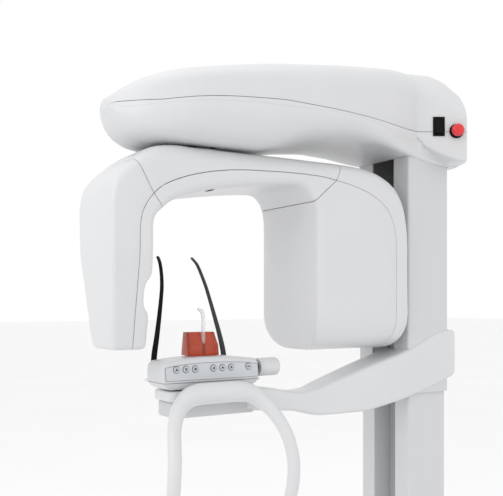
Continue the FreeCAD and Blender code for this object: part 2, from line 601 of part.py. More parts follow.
# ---- chin arm, panel and patient supports ------------------------------------------------------
def chin_arm_solid(inset):
    runs = [[(-560, 1150), (-426, 1141), (-344, 1125), (-230, 1127), (-125, 1144), (-70, 1156), (24, 1182),
             (104, 1207)],
            [(104, 1207), (104, 1322)],
            [(104, 1322), (92, 1333), (66, 1332)],
            [(66, 1332), (-71, 1283), (-124, 1266), (-190, 1247), (-283, 1218), (-332, 1203), (-363, 1191),
             (-401, 1187), (-442, 1191), (-480, 1200), (-560, 1206)],
            [(-560, 1206), (-560, 1150)]]
    side = across(outline(runs, in_side, inset), -60, 140)
    plan_runs = [[(5 + inset, -600), (4 + inset, -420), (4 + inset, -270), (0 + inset, -SLEEVE_Y)],
                 [(0 + inset, -SLEEVE_Y), (0 + inset, 120)],
                 [(0 + inset, 120), (105 - inset, 120)],
                 [(105 - inset, 120), (105 - inset, -SLEEVE_Y)],
                 [(105 - inset, -SLEEVE_Y), (98 - inset, -190), (86 - inset, -290), (72 - inset, -400),
                  (66 - inset, -520), (66 - inset, -600)],
                 [(66 - inset, -600), (5 + inset, -600)]]
    return side.common(up(outline(plan_runs, in_plan), 1100, 1400))


def make_chin_arm():
    """Hollow cantilever from the sleeve, with a flat tray at its end and a cover below it."""
    arm = chin_arm_solid(0)
    hollow = chin_arm_solid(6).common(box(-60, 140, -535, -SLEEVE_Y - 8, 1100, 1400))
    sleeve_room = box(-SLEEVE_X - 0.2, SLEEVE_X + 0.2, -SLEEVE_Y - 0.2, SLEEVE_Y + 0.2, 1100, 1400)
    arm = arm.cut(hollow).cut(sleeve_room)
    # the arm ends in a flat tray under the panel
    tray = rounded_box(-27, 66, -750, -530, 1184, 1208, 14)
    tray = tray.cut(box(-22, 61, -745, -545, 1180, 1202))
    save("chin_arm", join(arm.cut(box(-60, 140, -600, -530, 1100, 1300)), tray,
                          box(8, 60, -545, -525, 1160, 1206)))
    lower = rounded_box(-24, 63, -747, -531, 1147, 1183, 12)
    lower = lower.cut(rounded_box(-20, 59, -743, -549, 1151, 1190, 9)).cut(box(4, 64, -548, -520, 1155, 1190))
    save("arm_end_cover", lower)
    save("panel_pad", rounded_box(-4, 56, -738, -562, 1208, BOWL_Z0, 28))


def panel_side_face(inset):
    """End view of the panel, with a front that leans back slightly."""
    x0, x1, z0, z1 = PANEL_X0 + inset, PANEL_X1 - inset, PANEL_Z0, PANEL_Z1 - inset
    runs = [[(x0, z0), (x1, z0)], [(x1, z0), (x1 - 3, z1 - 10)],
            [(x1 - 3, z1 - 10), (x1 - 8, z1 - 3), (x1 - 18, z1)],
            [(x1 - 18, z1), (x0 + 14, z1)], [(x0 + 14, z1), (x0 + 4, z1 - 4), (x0, z1 - 14)],
            [(x0, z1 - 14), (x0, z0)]]
    return outline(runs, in_front)


def panel_front_face(inset):
    """Front view of the panel: a low arch."""
    y0, y1, z0, z1 = PANEL_Y0 + inset, PANEL_Y1 - inset, PANEL_Z0, PANEL_Z1 - inset
    mid = (y0 + y1) / 2
    runs = [[(y0, z0), (y1, z0)], [(y1, z0), (y1, z1 - 18)],
            [(y1, z1 - 18), (y1 - 8, z1 - 9), (mid + 60, z1 - 2), (mid, z1), (mid - 60, z1 - 2),
             (y0 + 8, z1 - 9), (y0, z1 - 18)], [(y0, z1 - 18), (y0, z0)]]
    return outline(runs, in_side)


def bowl(inset):
    """Shallow tray below the panel, its four sides sloping inwards."""
    x0, x1, y0, y1 = PANEL_X0 + inset, PANEL_X1 - inset, PANEL_Y0 + inset, PANEL_Y1 - inset
    foot = BOWL_Z0 + inset
    front = outline(chain([(x0, BOWL_Z1), (x1, BOWL_Z1), (x1 - 14, foot), (x0 + 14, foot)]), in_front)
    side = outline(chain([(y0, BOWL_Z1), (y1, BOWL_Z1), (y1 - 24, foot), (y0 + 24, foot)]), in_side)
    return along(front, y0, y1).common(across(side, x0, x1))


def key_positions():
    """Two groups of three keys and one single key, by Y."""
    start = PANEL_Y0 + 31
    steps = (0, 1, 2, 4, 5, 6, 8)
    return [start + KEY_PITCH * step for step in steps]


def make_panel():
    body = along(panel_side_face(0), PANEL_Y0, PANEL_Y1).common(across(panel_front_face(0), -40, 90))
    core = along(panel_side_face(3), PANEL_Y0, PANEL_Y1).common(across(panel_front_face(3), -40, 90))
    housing = body.cut(core)
    for y in key_positions():
        housing = housing.cut(rod(KEY_R + 0.5, (60, y, KEY_Z), (80, y, KEY_Z)))
    boss = rod(KNOB_R - 1, (KNOB_X, PANEL_Y1 - 3, KNOB_Z), (KNOB_X, KNOB_Y0 - 5, KNOB_Z))
    housing = join(housing, boss).cut(rod(11, (KNOB_X, PANEL_Y1 - 10, KNOB_Z), (KNOB_X, KNOB_Y0, KNOB_Z)))
    for y in (AXIS_Y - TEMPLE_HALF, AXIS_Y + TEMPLE_HALF):
        housing = housing.cut(box(PANEL_X0 - 2, PANEL_X0 + 5, y - 9, y + 9, TEMPLE_Z - 26, TEMPLE_Z + 12))
    save("panel_housing", housing)

    ledge = box(PANEL_X0 - 46, PANEL_X0 + 3, AXIS_Y - 108, AXIS_Y + 108, BOWL_Z1 - 4, BOWL_Z1)
    ears = []
    for y in (AXIS_Y - TEMPLE_HALF, AXIS_Y + TEMPLE_HALF):
        for x in (TEMPLE_X - 10, TEMPLE_X + 6.5):
            ears.append(box(x, x + 3.5, y - 9, y + 9, BOWL_Z1, TEMPLE_Z + 10))
    base = join(bowl(0).cut(bowl(3)), ledge, *ears)
    for y in (AXIS_Y - TEMPLE_HALF, AXIS_Y + TEMPLE_HALF):
        base = base.cut(rod(3.05, (TEMPLE_X - 20, y, TEMPLE_Z), (TEMPLE_X + 20, y, TEMPLE_Z)))
    posts = [rod(7, (20, y, BOWL_Z0 + 2), (20, y, PANEL_Z0 + 10)) for y in (-700, -600)]
    save("panel_base", join(base, *posts))

    board = box(58, 60, PANEL_Y0 + 20, PANEL_Y1 - 20, PANEL_Z0 + 14, PANEL_Z1 - 24)
    save("keypad_board", board)
    for index, y in enumerate(key_positions(), start=1):
        cap = rod(KEY_R, (65.4, y, KEY_Z), (PANEL_X1 + 0.2, y, KEY_Z))
        stem = rod(2.5, (61.2, y, KEY_Z), (65.4, y, KEY_Z))
        save(f"key_{index}", join(cap, stem))


def make_clamp():
    """Knob on the shaft whose two worms open and close the temple arms."""
    shaft_r, shaft_end = 4.0, KNOB_Y0 + 30
    shaft = rod(shaft_r, (KNOB_X, AXIS_Y - 108, KNOB_Z), (KNOB_X, shaft_end, KNOB_Z))
    worms = [rod(6.5, (KNOB_X, y - 12, KNOB_Z), (KNOB_X, y + 12, KNOB_Z))
             for y in (AXIS_Y - 70, AXIS_Y + 70)]
    save("clamp_shaft", join(shaft, *worms))
    grip = rod(KNOB_R, (KNOB_X, KNOB_Y0, KNOB_Z), (KNOB_X, KNOB_Y1, KNOB_Z))
    grip = grip.makeFillet(3, [edge for edge in grip.Edges if edge.BoundBox.YLength < 0.1])
    neck = rod(9.5, (KNOB_X, PANEL_Y1 + 0.6, KNOB_Z), (KNOB_X, KNOB_Y0, KNOB_Z))
    bore = rod(shaft_r, (KNOB_X, PANEL_Y1 - 1, KNOB_Z), (KNOB_X, shaft_end, KNOB_Z))
    save("knob", join(grip, neck).cut(bore))


def make_temple_arm(side):
    """Slim padded arm that rises from its hinge, leans back and curls in at its tip."""
    y0 = AXIS_Y + side * TEMPLE_HALF
    points = [(TEMPLE_X, y0, TEMPLE_Z), (TEMPLE_X, y0 - side * 2, TEMPLE_Z + 26), (-54, y0 - side * 20, 1372),
              (-73, y0 - side * 36, 1450), (-115, y0 - side * 46, 1514)]
    radii = [6.0, 5.9, 5.4, 4.9, 4.3]
    pieces = []
    for start, end, radius, tip in zip(points, points[1:], radii, radii[1:]):
        pieces.append(taper(radius, tip, V(*start), V(*end)))
        pieces.append(Part.makeSphere(tip, V(*end)))
    eye = rod(8, (TEMPLE_X - 6.2, y0, TEMPLE_Z), (TEMPLE_X + 6.2, y0, TEMPLE_Z))
    pin = rod(3.0, (TEMPLE_X - 12, y0, TEMPLE_Z), (TEMPLE_X + 12, y0, TEMPLE_Z))
    return join(eye, pin, *pieces)


def make_supports():
    save("temple_arm_left", make_temple_arm(-1))
    save("temple_arm_right", make_temple_arm(1))

    foot = PANEL_Z1 + 0.5
    profile = outline(chain([(BLOCK_X0, foot), (BLOCK_X1, foot), (BLOCK_X1, 1306), (12, BLOCK_TOP),
                             (BLOCK_X0, BLOCK_TOP)]), in_front)
    block = along(profile, AXIS_Y - BLOCK_HALF, AXIS_Y + BLOCK_HALF)
    for sign in (-1, 1):
        low, high = AXIS_Y + sign * (BLOCK_HALF + 0.5), AXIS_Y + sign * (BLOCK_HALF - 4)
        flank = outline(chain([(high, BLOCK_TOP + 3), (low, foot), (low + sign * 9, foot),
                               (low + sign * 9, BLOCK_TOP + 3)]), in_side)
        block = block.cut(across(flank, BLOCK_X0 - 9, BLOCK_X1 + 9))
    bore = rod(BITE_R + 0.06, (BITE_X, AXIS_Y, 1288), (BITE_X, AXIS_Y, 1350))
    save("chin_block", block.cut(bore))

    elbow = (BITE_X, AXIS_Y, BITE_TOP)
    bite = join(rod(BITE_R, (BITE_X, AXIS_Y, 1290), elbow), Part.makeSphere(BITE_R, V(*elbow)),
                rod(BITE_R, elbow, (BITE_X - 20, AXIS_Y, BITE_TOP + 16)))
    save("bite_tube", bite)


def make_handle():
    """Inverted U under the panel, its legs reaching down and out for both hands."""
    bridge_half, bridge_r = 62.0, 24.0
    # out from the panel, sideways from the middle, height and radius
    leg = [(0, bridge_half, HANDLE_Z, bridge_r), (14, 104, 1190, 18.5), (26, 122, 1166, HANDLE_R + 1),
           (46, 136, 1132, HANDLE_R), (62, 146, 1090, HANDLE_R), (74, 151, 1040, HANDLE_R),
           (58, 153, 960, HANDLE_R)]
    pieces = [rod(bridge_r, (HANDLE_X, AXIS_Y - bridge_half, HANDLE_Z),
                  (HANDLE_X, AXIS_Y + bridge_half, HANDLE_Z))]
    for side in (-1, 1):
        route = [V(HANDLE_X + out, AXIS_Y + side * aside, z) for out, aside, z, _ in leg]
        radii = [radius for _, _, _, radius in leg]
        pieces.append(Part.makeSphere(bridge_r, route[0]))
        for start, end, radius, tip in zip(route, route[1:], radii, radii[1:]):
            pieces.append(taper(radius, tip, start, end))
            pieces.append(Part.makeSphere(tip, end))
    plate = box(63, HANDLE_X, AXIS_Y - 40, AXIS_Y + 40, HANDLE_Z - 18, HANDLE_Z - 2)
    save("handle", join(*pieces, plate).cut(box(-100, 66.2, -900, -400, 1100, 1300)))


def make_lift_screws():
    """Screws from the overhead frame into the sleeve, and of the overhead covers' rear."""
    screws = []
    for x in (-72, 72):
        for y in (-55, 55):
            screws.append(rod(5, (x, y, SLEEVE_TOP + 10), (x, y, SLEEVE_TOP + 15)))
    for x in (-70, 70):
        for z in (1830, 1900):
            screws.append(rod(5, (x, 104.2, z), (x, 107.0, z)))
    save("cover_screws", together(*screws))


make_stand()
make_column()
make_lift()
make_sleeve()
make_overhead_covers()
make_overhead_frame()
make_switches()
make_carriage()
make_arm_covers()
make_arm_inside()
make_chin_arm()
make_panel()
make_clamp()
make_supports()
make_handle()
make_lift_screws()
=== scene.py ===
import json
import math

import bmesh
import bpy
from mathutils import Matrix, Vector


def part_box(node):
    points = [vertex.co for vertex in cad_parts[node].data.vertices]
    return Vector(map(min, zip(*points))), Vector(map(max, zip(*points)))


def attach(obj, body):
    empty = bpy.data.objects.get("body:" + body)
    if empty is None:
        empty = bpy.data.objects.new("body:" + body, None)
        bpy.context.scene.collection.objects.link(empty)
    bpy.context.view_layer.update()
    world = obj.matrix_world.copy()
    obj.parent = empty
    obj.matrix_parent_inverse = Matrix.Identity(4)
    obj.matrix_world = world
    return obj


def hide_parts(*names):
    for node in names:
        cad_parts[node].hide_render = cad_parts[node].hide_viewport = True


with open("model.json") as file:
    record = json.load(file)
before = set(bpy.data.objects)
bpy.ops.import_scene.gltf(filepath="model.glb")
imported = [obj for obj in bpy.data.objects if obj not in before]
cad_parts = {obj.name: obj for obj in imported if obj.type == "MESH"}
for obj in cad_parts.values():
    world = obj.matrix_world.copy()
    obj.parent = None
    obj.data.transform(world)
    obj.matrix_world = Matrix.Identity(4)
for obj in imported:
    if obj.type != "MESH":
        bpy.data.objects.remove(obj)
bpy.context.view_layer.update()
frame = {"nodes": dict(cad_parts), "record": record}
NODES = frame["nodes"]
MM = 0.001

# Driving sizes in millimetres, in the part's own frame.
AXIS_Y = -650.0                 # vertical axis that the C-arm turns about
SEAM_GAP = 1.3                  # open joint between two covers
SHELL = 3.0                     # thickness of a moulded cover
SLEEVE_X, SLEEVE_Y = 100.5, 74.0    # half sizes of the sleeve that rides on the column
SHAFT_ROOM = 8.5                # radius of the hole that the clamp shaft turns in
ARC_STEPS = 6                   # segments in a quarter turn


# ---- curves ------------------------------------------------------------------------------
def lerp(a, b, t):
    """The point a share t of the way from a to b."""
    return tuple(p + (q - p) * t for p, q in zip(a, b))


def table(points, x):
    """Monotone cubic through (x, value) pairs."""
    if x <= points[0][0]:
        return points[0][1]
    if x >= points[-1][0]:
        return points[-1][1]
    slopes = [(b[1] - a[1]) / (b[0] - a[0]) for a, b in zip(points, points[1:])]
    tangents = [slopes[0]]
    for before, after in zip(slopes, slopes[1:]):
        same = before * after > 0
        tangents.append(2 * before * after / (before + after) if same else 0.0)
    tangents.append(slopes[-1])
    for i in range(len(slopes)):
        if x <= points[i + 1][0]:
            span = points[i + 1][0] - points[i][0]
            t = (x - points[i][0]) / span
            a, b = points[i][1], points[i + 1][1]
            return ((2 * t ** 3 - 3 * t ** 2 + 1) * a
                    + (t ** 3 - 2 * t ** 2 + t) * span * tangents[i]
                    + (3 * t ** 2 - 2 * t ** 3) * b
                    + (t ** 3 - t ** 2) * span * tangents[i + 1])
    return points[-1][1]


def spline(points, per_span):
    """Catmull-Rom curve through points of any dimension."""
    ends = [lerp(points[0], points[1], -1.0)] + list(points) + [lerp(points[-2], points[-1], 2.0)]
    made = []
    for i in range(1, len(ends) - 2):
        p0, p1, p2, p3 = ends[i - 1:i + 3]
        for k in range(per_span):
            t = k / per_span
            made.append(tuple(0.5 * (2 * b + (c - a) * t + (2 * a - 5 * b + 4 * c - d) * t * t
                                     + (3 * b - a - 3 * c + d) * t ** 3)
                              for a, b, c, d in zip(p0, p1, p2, p3)))
    made.append(tuple(points[-1]))
    return made


# ---- materials ---------------------------------------------------------------------------
GLOSS_SPREAD = 0.06             # how far the roughness drifts to either side


def material(name, color, roughness, metallic=0.0, bump=0.0, bump_scale=900.0, blotch=0.04,
             blotch_scale=6.0, coat=0.0, transmission=0.0, ior=1.46, stretch=(1, 1, 1),
             specular=0.5):
    """Painted or moulded surface: slow colour drift, fine grain in the bump and varied gloss."""
    mat = bpy.data.materials.new(name)
    mat.use_nodes = True
    tree = mat.node_tree
    shader = tree.nodes["Principled BSDF"]
    shader.inputs["Metallic"].default_value = metallic
    shader.inputs["Coat Weight"].default_value = coat
    shader.inputs["Coat Roughness"].default_value = 0.18
    shader.inputs["Transmission Weight"].default_value = transmission
    shader.inputs["IOR"].default_value = ior
    shader.inputs["Specular IOR Level"].default_value = specular
    place = tree.nodes.new("ShaderNodeTexCoord")
    mapping = tree.nodes.new("ShaderNodeMapping")
    mapping.inputs["Scale"].default_value = stretch
    tree.links.new(place.outputs["Object"], mapping.inputs["Vector"])

    def noise(scale, detail):
        node = tree.nodes.new("ShaderNodeTexNoise")
        node.inputs["Scale"].default_value = scale
        node.inputs["Detail"].default_value = detail
        tree.links.new(mapping.outputs["Vector"], node.inputs["Vector"])
        return node

    slow = noise(blotch_scale, 4.0)
    ramp = tree.nodes.new("ShaderNodeValToRGB")
    dark = [c * (1.0 - blotch) for c in color]
    light = [min(1.0, c * (1.0 + blotch)) for c in color]
    ramp.color_ramp.elements[0].position = 0.3
    ramp.color_ramp.elements[1].position = 0.7
    ramp.color_ramp.elements[0].color = (*dark, 1)
    ramp.color_ramp.elements[1].color = (*light, 1)
    tree.links.new(slow.outputs["Fac"], ramp.inputs["Fac"])
    tree.links.new(ramp.outputs["Color"], shader.inputs["Base Color"])

    patches = noise(blotch_scale * 3.1, 3.0)
    gloss = tree.nodes.new("ShaderNodeMapRange")
    gloss.inputs["To Min"].default_value = max(0.03, roughness - GLOSS_SPREAD)
    gloss.inputs["To Max"].default_value = min(1.0, roughness + GLOSS_SPREAD)
    tree.links.new(patches.outputs["Fac"], gloss.inputs["Value"])
    tree.links.new(gloss.outputs["Result"], shader.inputs["Roughness"])
    if bump > 0:
        grain = noise(bump_scale, 2.0)
        relief = tree.nodes.new("ShaderNodeBump")
        relief.inputs["Strength"].default_value = bump
        relief.inputs["Distance"].default_value = 0.0004
        tree.links.new(grain.outputs["Fac"], relief.inputs["Height"])
        tree.links.new(relief.outputs["Normal"], shader.inputs["Normal"])
    return mat


ABS_WHITE = (0.66, 0.665, 0.675)
WHITE = material("white_abs", ABS_WHITE, 0.38, bump=0.10, bump_scale=1400, blotch=0.012,
                 coat=0.15)
WHITE_PAINT = material("white_powder_coat", ABS_WHITE, 0.34, bump=0.22, bump_scale=520,
                       blotch=0.012, coat=0.2)
PANEL_WHITE = material("panel_white", (0.62, 0.625, 0.64), 0.36, bump=0.10, bump_scale=1500,
                       blotch=0.012, coat=0.15)
# White plastic painted greyer: painted shade under the tray, used for the housing below it.
UNDER_TRAY_SHADE_GREY = material("white_abs_shaded_under_tray", (0.56, 0.565, 0.58), 0.42, bump=0.16, bump_scale=1200,
                     blotch=0.015)
COLUMN = material("column_grey_paint", (0.61, 0.615, 0.625), 0.36, bump=0.16, bump_scale=420,
                  blotch=0.015, stretch=(1, 1, 0.15), coat=0.12)
STAND = material("stand_textured_paint", (0.42, 0.43, 0.45), 0.52, bump=0.7, bump_scale=620,
                 blotch=0.05)
DARK = material("dark_grey_plastic", (0.075, 0.078, 0.085), 0.5, bump=0.25, bump_scale=1100,
                blotch=0.08)
RECESS = material("recess_strip", (0.42, 0.425, 0.435), 0.55, bump=0.3, bump_scale=900,
                  blotch=0.06, stretch=(1, 1, 0.1))
BLACK = material("black_plastic", (0.006, 0.006, 0.007), 0.5, bump=0.2, bump_scale=1300,
                 blotch=0.15, specular=0.12)
# Charcoal carries painted light and painted shade: the right temple arm's black plastic painted
# lighter, and the knob collar painted dark for the gap at its root.
CHARCOAL_LIGHT_AND_SHADE = material("charcoal_painted_light_and_shade", (0.035, 0.036, 0.038), 0.45, bump=0.2, bump_scale=1300,
                    blotch=0.12, specular=0.35)
STEEL = material("machined_steel", (0.60, 0.60, 0.61), 0.30, metallic=1.0, bump=0.3,
                 bump_scale=300, blotch=0.05, stretch=(1, 1, 12))
ALLOY = material("bare_aluminium", (0.68, 0.69, 0.71), 0.40, metallic=1.0, bump=0.2,
                 bump_scale=500, blotch=0.04)
BRONZE = material("bronze", (0.56, 0.38, 0.16), 0.34, metallic=1.0, bump=0.2, bump_scale=500,
                  blotch=0.1)
RUBBER = material("belt_rubber", (0.02, 0.02, 0.02), 0.75, bump=0.5, bump_scale=800, blotch=0.2)
RED = material("red_button", (0.70, 0.018, 0.022), 0.28, bump=0.08, bump_scale=1300,
               blotch=0.06, coat=0.4)
ORANGE = material("orange_acrylic", (0.50, 0.050, 0.006), 0.14, bump=0.08, bump_scale=900,
                  blotch=0.08, transmission=0.72, ior=1.49, coat=0.2)
CLEAR = material("clear_plastic", (0.90, 0.915, 0.93), 0.12, bump=0.05, bump_scale=900,
                 blotch=0.02, transmission=0.75, ior=1.45)
GLASS = material("tube_glass", (0.86, 0.92, 0.95), 0.05, blotch=0.02, transmission=0.9, ior=1.5)
FILM = material("keypad_film", (0.57, 0.595, 0.62), 0.30, bump=0.12, bump_scale=1700,
                blotch=0.02, coat=0.25)
KEY_GREY = material("key_cap", (0.50, 0.53, 0.55), 0.34, bump=0.12, bump_scale=1700,
                    blotch=0.03, coat=0.25)
EDGE_GREY = material("film_edge", (0.24, 0.25, 0.27), 0.4, bump=0.12, bump_scale=1700,
                     blotch=0.03)
INK = material("icon_ink", (0.05, 0.055, 0.065), 0.45, bump=0.1, bump_scale=1500, blotch=0.1)
BOARD = material("circuit_board", (0.02, 0.16, 0.05), 0.4, bump=0.4, bump_scale=260, blotch=0.2,
                 blotch_scale=60)


def paint(obj, mat):
    """Give a piece this one material."""
    obj.data.materials.clear()
    obj.data.materials.append(mat)


# ---- mesh helpers ------------------------------------------------------------------------
def new_mesh(name, verts, faces):
    """Object from points in millimetres."""
    mesh = bpy.data.meshes.new(name)
    mesh.from_pydata([tuple(c * MM for c in v) for v in verts], [], faces)
    obj = bpy.data.objects.new(name, mesh)
    bpy.context.scene.collection.objects.link(obj)
    return obj


def tidy_normals(obj):
    """Merge doubled points, drop empty faces and turn the rest outwards."""
    bm = bmesh.new()
    bm.from_mesh(obj.data)
    bmesh.ops.remove_doubles(bm, verts=bm.verts, dist=1e-5)
    bmesh.ops.dissolve_degenerate(bm, edges=bm.edges, dist=1e-5)
    bmesh.ops.recalc_face_normals(bm, faces=bm.faces)
    bm.to_mesh(obj.data)
    bm.free()


def settle(obj, sharp=38.0):
    """Apply the modifiers, shade smooth and keep the true edges sharp."""
    graph = bpy.context.evaluated_depsgraph_get()
    graph.update()
    mesh = bpy.data.meshes.new_from_object(obj.evaluated_get(graph))
    obj.modifiers.clear()
    obj.data = mesh
    mesh.polygons.foreach_set("use_smooth", [True] * len(mesh.polygons))
    mesh.set_sharp_from_angle(angle=math.radians(sharp))
    mesh.update()
    return obj


def bevel(obj, width, segments, angle):
    """Round the edges that are sharper than an angle in degrees."""
    mod = obj.modifiers.new("bevel", "BEVEL")
    mod.width = width * MM
    mod.segments = segments
    mod.limit_method = "ANGLE"
    mod.angle_limit = math.radians(angle)
    mod.use_clamp_overlap = True


def thicken(obj, thickness):
    """Give an open shell a wall on its inner side."""
    mod = obj.modifiers.new("wall", "SOLIDIFY")
    mod.thickness = thickness * MM
    mod.offset = -1.0


def place(obj, body, slot, mat, *nodes):
    """Paint a piece, hang it from its body's empty, and stand it in for CAD nodes; slot is not
    used.
    """
    paint(obj, mat)
    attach(obj, body)
    if nodes:
        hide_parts(*nodes)
    return obj


def grid_faces(rows, cols, closed=False):
    """Quads between rows of points; closed joins each row into a ring."""
    faces = []
    span = cols if closed else cols - 1
    for i in range(rows - 1):
        for j in range(span):
            k = (j + 1) % cols
            faces.append((i * cols + j, i * cols + k, (i + 1) * cols + k, (i + 1) * cols + j))
    return faces


def solid(name, verts, cols):
    """Closed solid from rings of points in millimetres, capped at both ends."""
    rows = len(verts) // cols
    faces = grid_faces(rows, cols, closed=True)
    faces.append(tuple(range(cols))[::-1])
    faces.append(tuple(range((rows - 1) * cols, rows * cols)))
    obj = new_mesh(name, verts, faces)
    tidy_normals(obj)
    return obj


def prism(name, near, far):
    """Closed solid between two outlines with the same number of points."""
    count = len(near)
    faces = [tuple(range(count)), tuple(range(count, 2 * count))[::-1]]
    faces += [(i, i + count, (i + 1) % count + count, (i + 1) % count) for i in range(count)]
    obj = new_mesh(name, near + far, faces)
    tidy_normals(obj)
    return obj


def rounded_ring(u0, u1, v0, v1, radii, steps=ARC_STEPS):
    """Points round a rectangle, with a radius for each corner anticlockwise from (u1, v1)."""
    a, b, c, d = radii
    points = []
    for cu, cv, start, r in ((u1 - a, v1 - a, 0, a), (u0 + b, v1 - b, 90, b),
                             (u0 + c, v0 + c, 180, c), (u1 - d, v0 + d, 270, d)):
        for k in range(steps + 1):
            angle = math.radians(start + 90 * k / steps)
            points.append((cu + r * math.cos(angle), cv + r * math.sin(angle)))
    return points


def lathe(name, profile, centre, axis, steps=48):
    """Solid of revolution: profile is (radius, distance along axis) in millimetres."""
    axis = Vector(axis).normalized()
    side = axis.orthogonal().normalized()
    other = axis.cross(side)
    verts = []
    for radius, along in profile:
        for k in range(steps):
            angle = 2 * math.pi * k / steps
            outward = side * math.cos(angle) + other * math.sin(angle)
            verts.append(tuple(Vector(centre) + axis * along + outward * radius))
    return solid(name, verts, steps)


def tube(name, route, radii, flat_axis, steps=28, flat=1.0):
    """Round-ended rod with a radius at each point; flat squeezes it sideways."""
    points = [Vector(p) for p in route]
    rings = []
    up = Vector(flat_axis)
    for i, point in enumerate(points):
        ahead = points[min(i + 1, len(points) - 1)] - points[max(i - 1, 0)]
        ahead.normalize()
        side = up.cross(ahead)
        if side.length < 1e-4:
            side = ahead.orthogonal()
        side.normalize()
        over = ahead.cross(side).normalized()
        rings.append((point, ahead, side, over, radii[i]))
    caps = [math.pi / 2 * k / 6 for k in range(1, 6)]
    point, ahead, side, over, radius = rings[0]
    stack = [(point - ahead * radius * math.sin(a), side, over, radius * math.cos(a))
             for a in reversed(caps)]
    stack.extend((point, side, over, radius) for point, ahead, side, over, radius in rings)
    point, ahead, side, over, radius = rings[-1]
    stack.extend((point + ahead * radius * math.sin(a), side, over, radius * math.cos(a))
                 for a in caps)
    verts = []
    for point, side, over, radius in stack:
        for k in range(steps):
            a = 2 * math.pi * k / steps
            across = side * math.cos(a) * radius * flat
            verts.append(tuple(point + across + over * math.sin(a) * radius))
    return solid(name, verts, steps)


def rounded_slab(name, x0, x1, y0, y1, z0, z1, corner, soft, steps=8):
    """Upright slab with rounded plan corners and softened rims."""
    levels = []
    for k in range(5):
        a = math.pi / 2 * k / 4
        levels.append((z0 + soft * (1 - math.sin(a)), soft * (1 - math.cos(a))))
    levels = levels[::-1] + [(z1 - (z - z0), inset) for z, inset in levels]
    verts = []
    for z, inset in levels:
        ring = rounded_ring(x0 + inset, x1 - inset, y0 + inset, y1 - inset,
                            [corner - inset] * 4, steps)
        verts.extend((x, y, z) for x, y in ring)
    return solid(name, verts, 4 * (steps + 1))


def cut_with(obj, cutters):
    """Subtract other meshes, then remove them."""
    for cutter in cutters:
        mod = obj.modifiers.new("cut", "BOOLEAN")
        mod.operation = "DIFFERENCE"
        mod.solver = "EXACT"
        mod.object = cutter
    settle(obj)
    for cutter in cutters:
        bpy.data.objects.remove(cutter)
    return obj


def box_mesh(name, corners):
    """Six-sided solid; its corners run through z fastest and x slowest."""
    faces = [(0, 1, 3, 2), (4, 6, 7, 5), (0, 4, 5, 1), (2, 3, 7, 6), (0, 2, 6, 4), (1, 5, 7, 3)]
    obj = new_mesh(name, corners, faces)
    tidy_normals(obj)
    return obj


def drill(radius, start, end):
    """Cutter for a round hole between two points in millimetres."""
    run = Vector(end) - Vector(start)
    return lathe("drill", [(radius, 0.0), (radius, run.length)], start, run, 40)


def centre(node):
    """Middle of a node's box in millimetres."""
    low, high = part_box(node)
    return [(a + b) / 2 / MM for a, b in zip(low, high)]


# ---- camera, light and floor -------------------------------------------------------------
def make_camera():
    """At about the bite tube's height, off the panel's front corner."""
    look = Vector((-0.8387, 0.5446, 0.0))
    data = bpy.data.cameras.new("camera")
    data.sensor_width = 36.0
    data.lens = 53.8
    data.shift_x = -0.017
    data.shift_y = 0.113
    data.clip_end = 200
    camera = bpy.data.objects.new("camera", data)
    bpy.context.scene.collection.objects.link(camera)
    camera.location = (1.556, -1.489, 1.400)
    camera.rotation_euler = look.to_track_quat("-Z", "Y").to_euler()
    bpy.context.scene.camera = camera


# Name, place, target and size in metres, and power in watts.
LIGHTS = [
    ("key", (0.6, -4.2, 3.4), (0, -0.4, 1.5), (2.6, 2.6), 34),
    ("fill", (4.2, 0.6, 2.4), (0, -0.3, 1.4), (3.0, 3.0), 8),
    ("top", (-0.6, -0.8, 4.6), (0, -0.4, 1.2), (3.0, 3.0), 12),
]
FLOOR_HALF = 60000


def make_light(name, location, target, size, power):
    data = bpy.data.lights.new(name, "AREA")
    data.shape = "RECTANGLE"
    data.size, data.size_y = size
    data.energy = power
    light = bpy.data.objects.new(name, data)
    light.location = location
    way = Vector(target) - Vector(location)
    light.rotation_euler = way.to_track_quat("-Z", "Y").to_euler()
    bpy.context.scene.collection.objects.link(light)


def make_stage():
    """White surroundings, a pale floor and three soft lights."""
    world = bpy.data.worlds.new("studio")
    bpy.context.scene.world = world
    world.use_nodes = True
    background = world.node_tree.nodes["Background"]
    background.inputs["Color"].default_value = (1, 1, 1, 1)
    background.inputs["Strength"].default_value = 1.0
    corners = [(-1, -1), (1, -1), (1, 1), (-1, 1)]
    floor = new_mesh("floor", [(x * FLOOR_HALF, y * FLOOR_HALF, 0) for x, y in corners],
                     [(0, 1, 2, 3)])
    paint(floor, material("floor_paint", (0.93, 0.93, 0.93), 0.7, blotch=0.01, blotch_scale=0.7))
    for light in LIGHTS:
        make_light(*light)
    bpy.context.scene.view_settings.view_transform = "Standard"


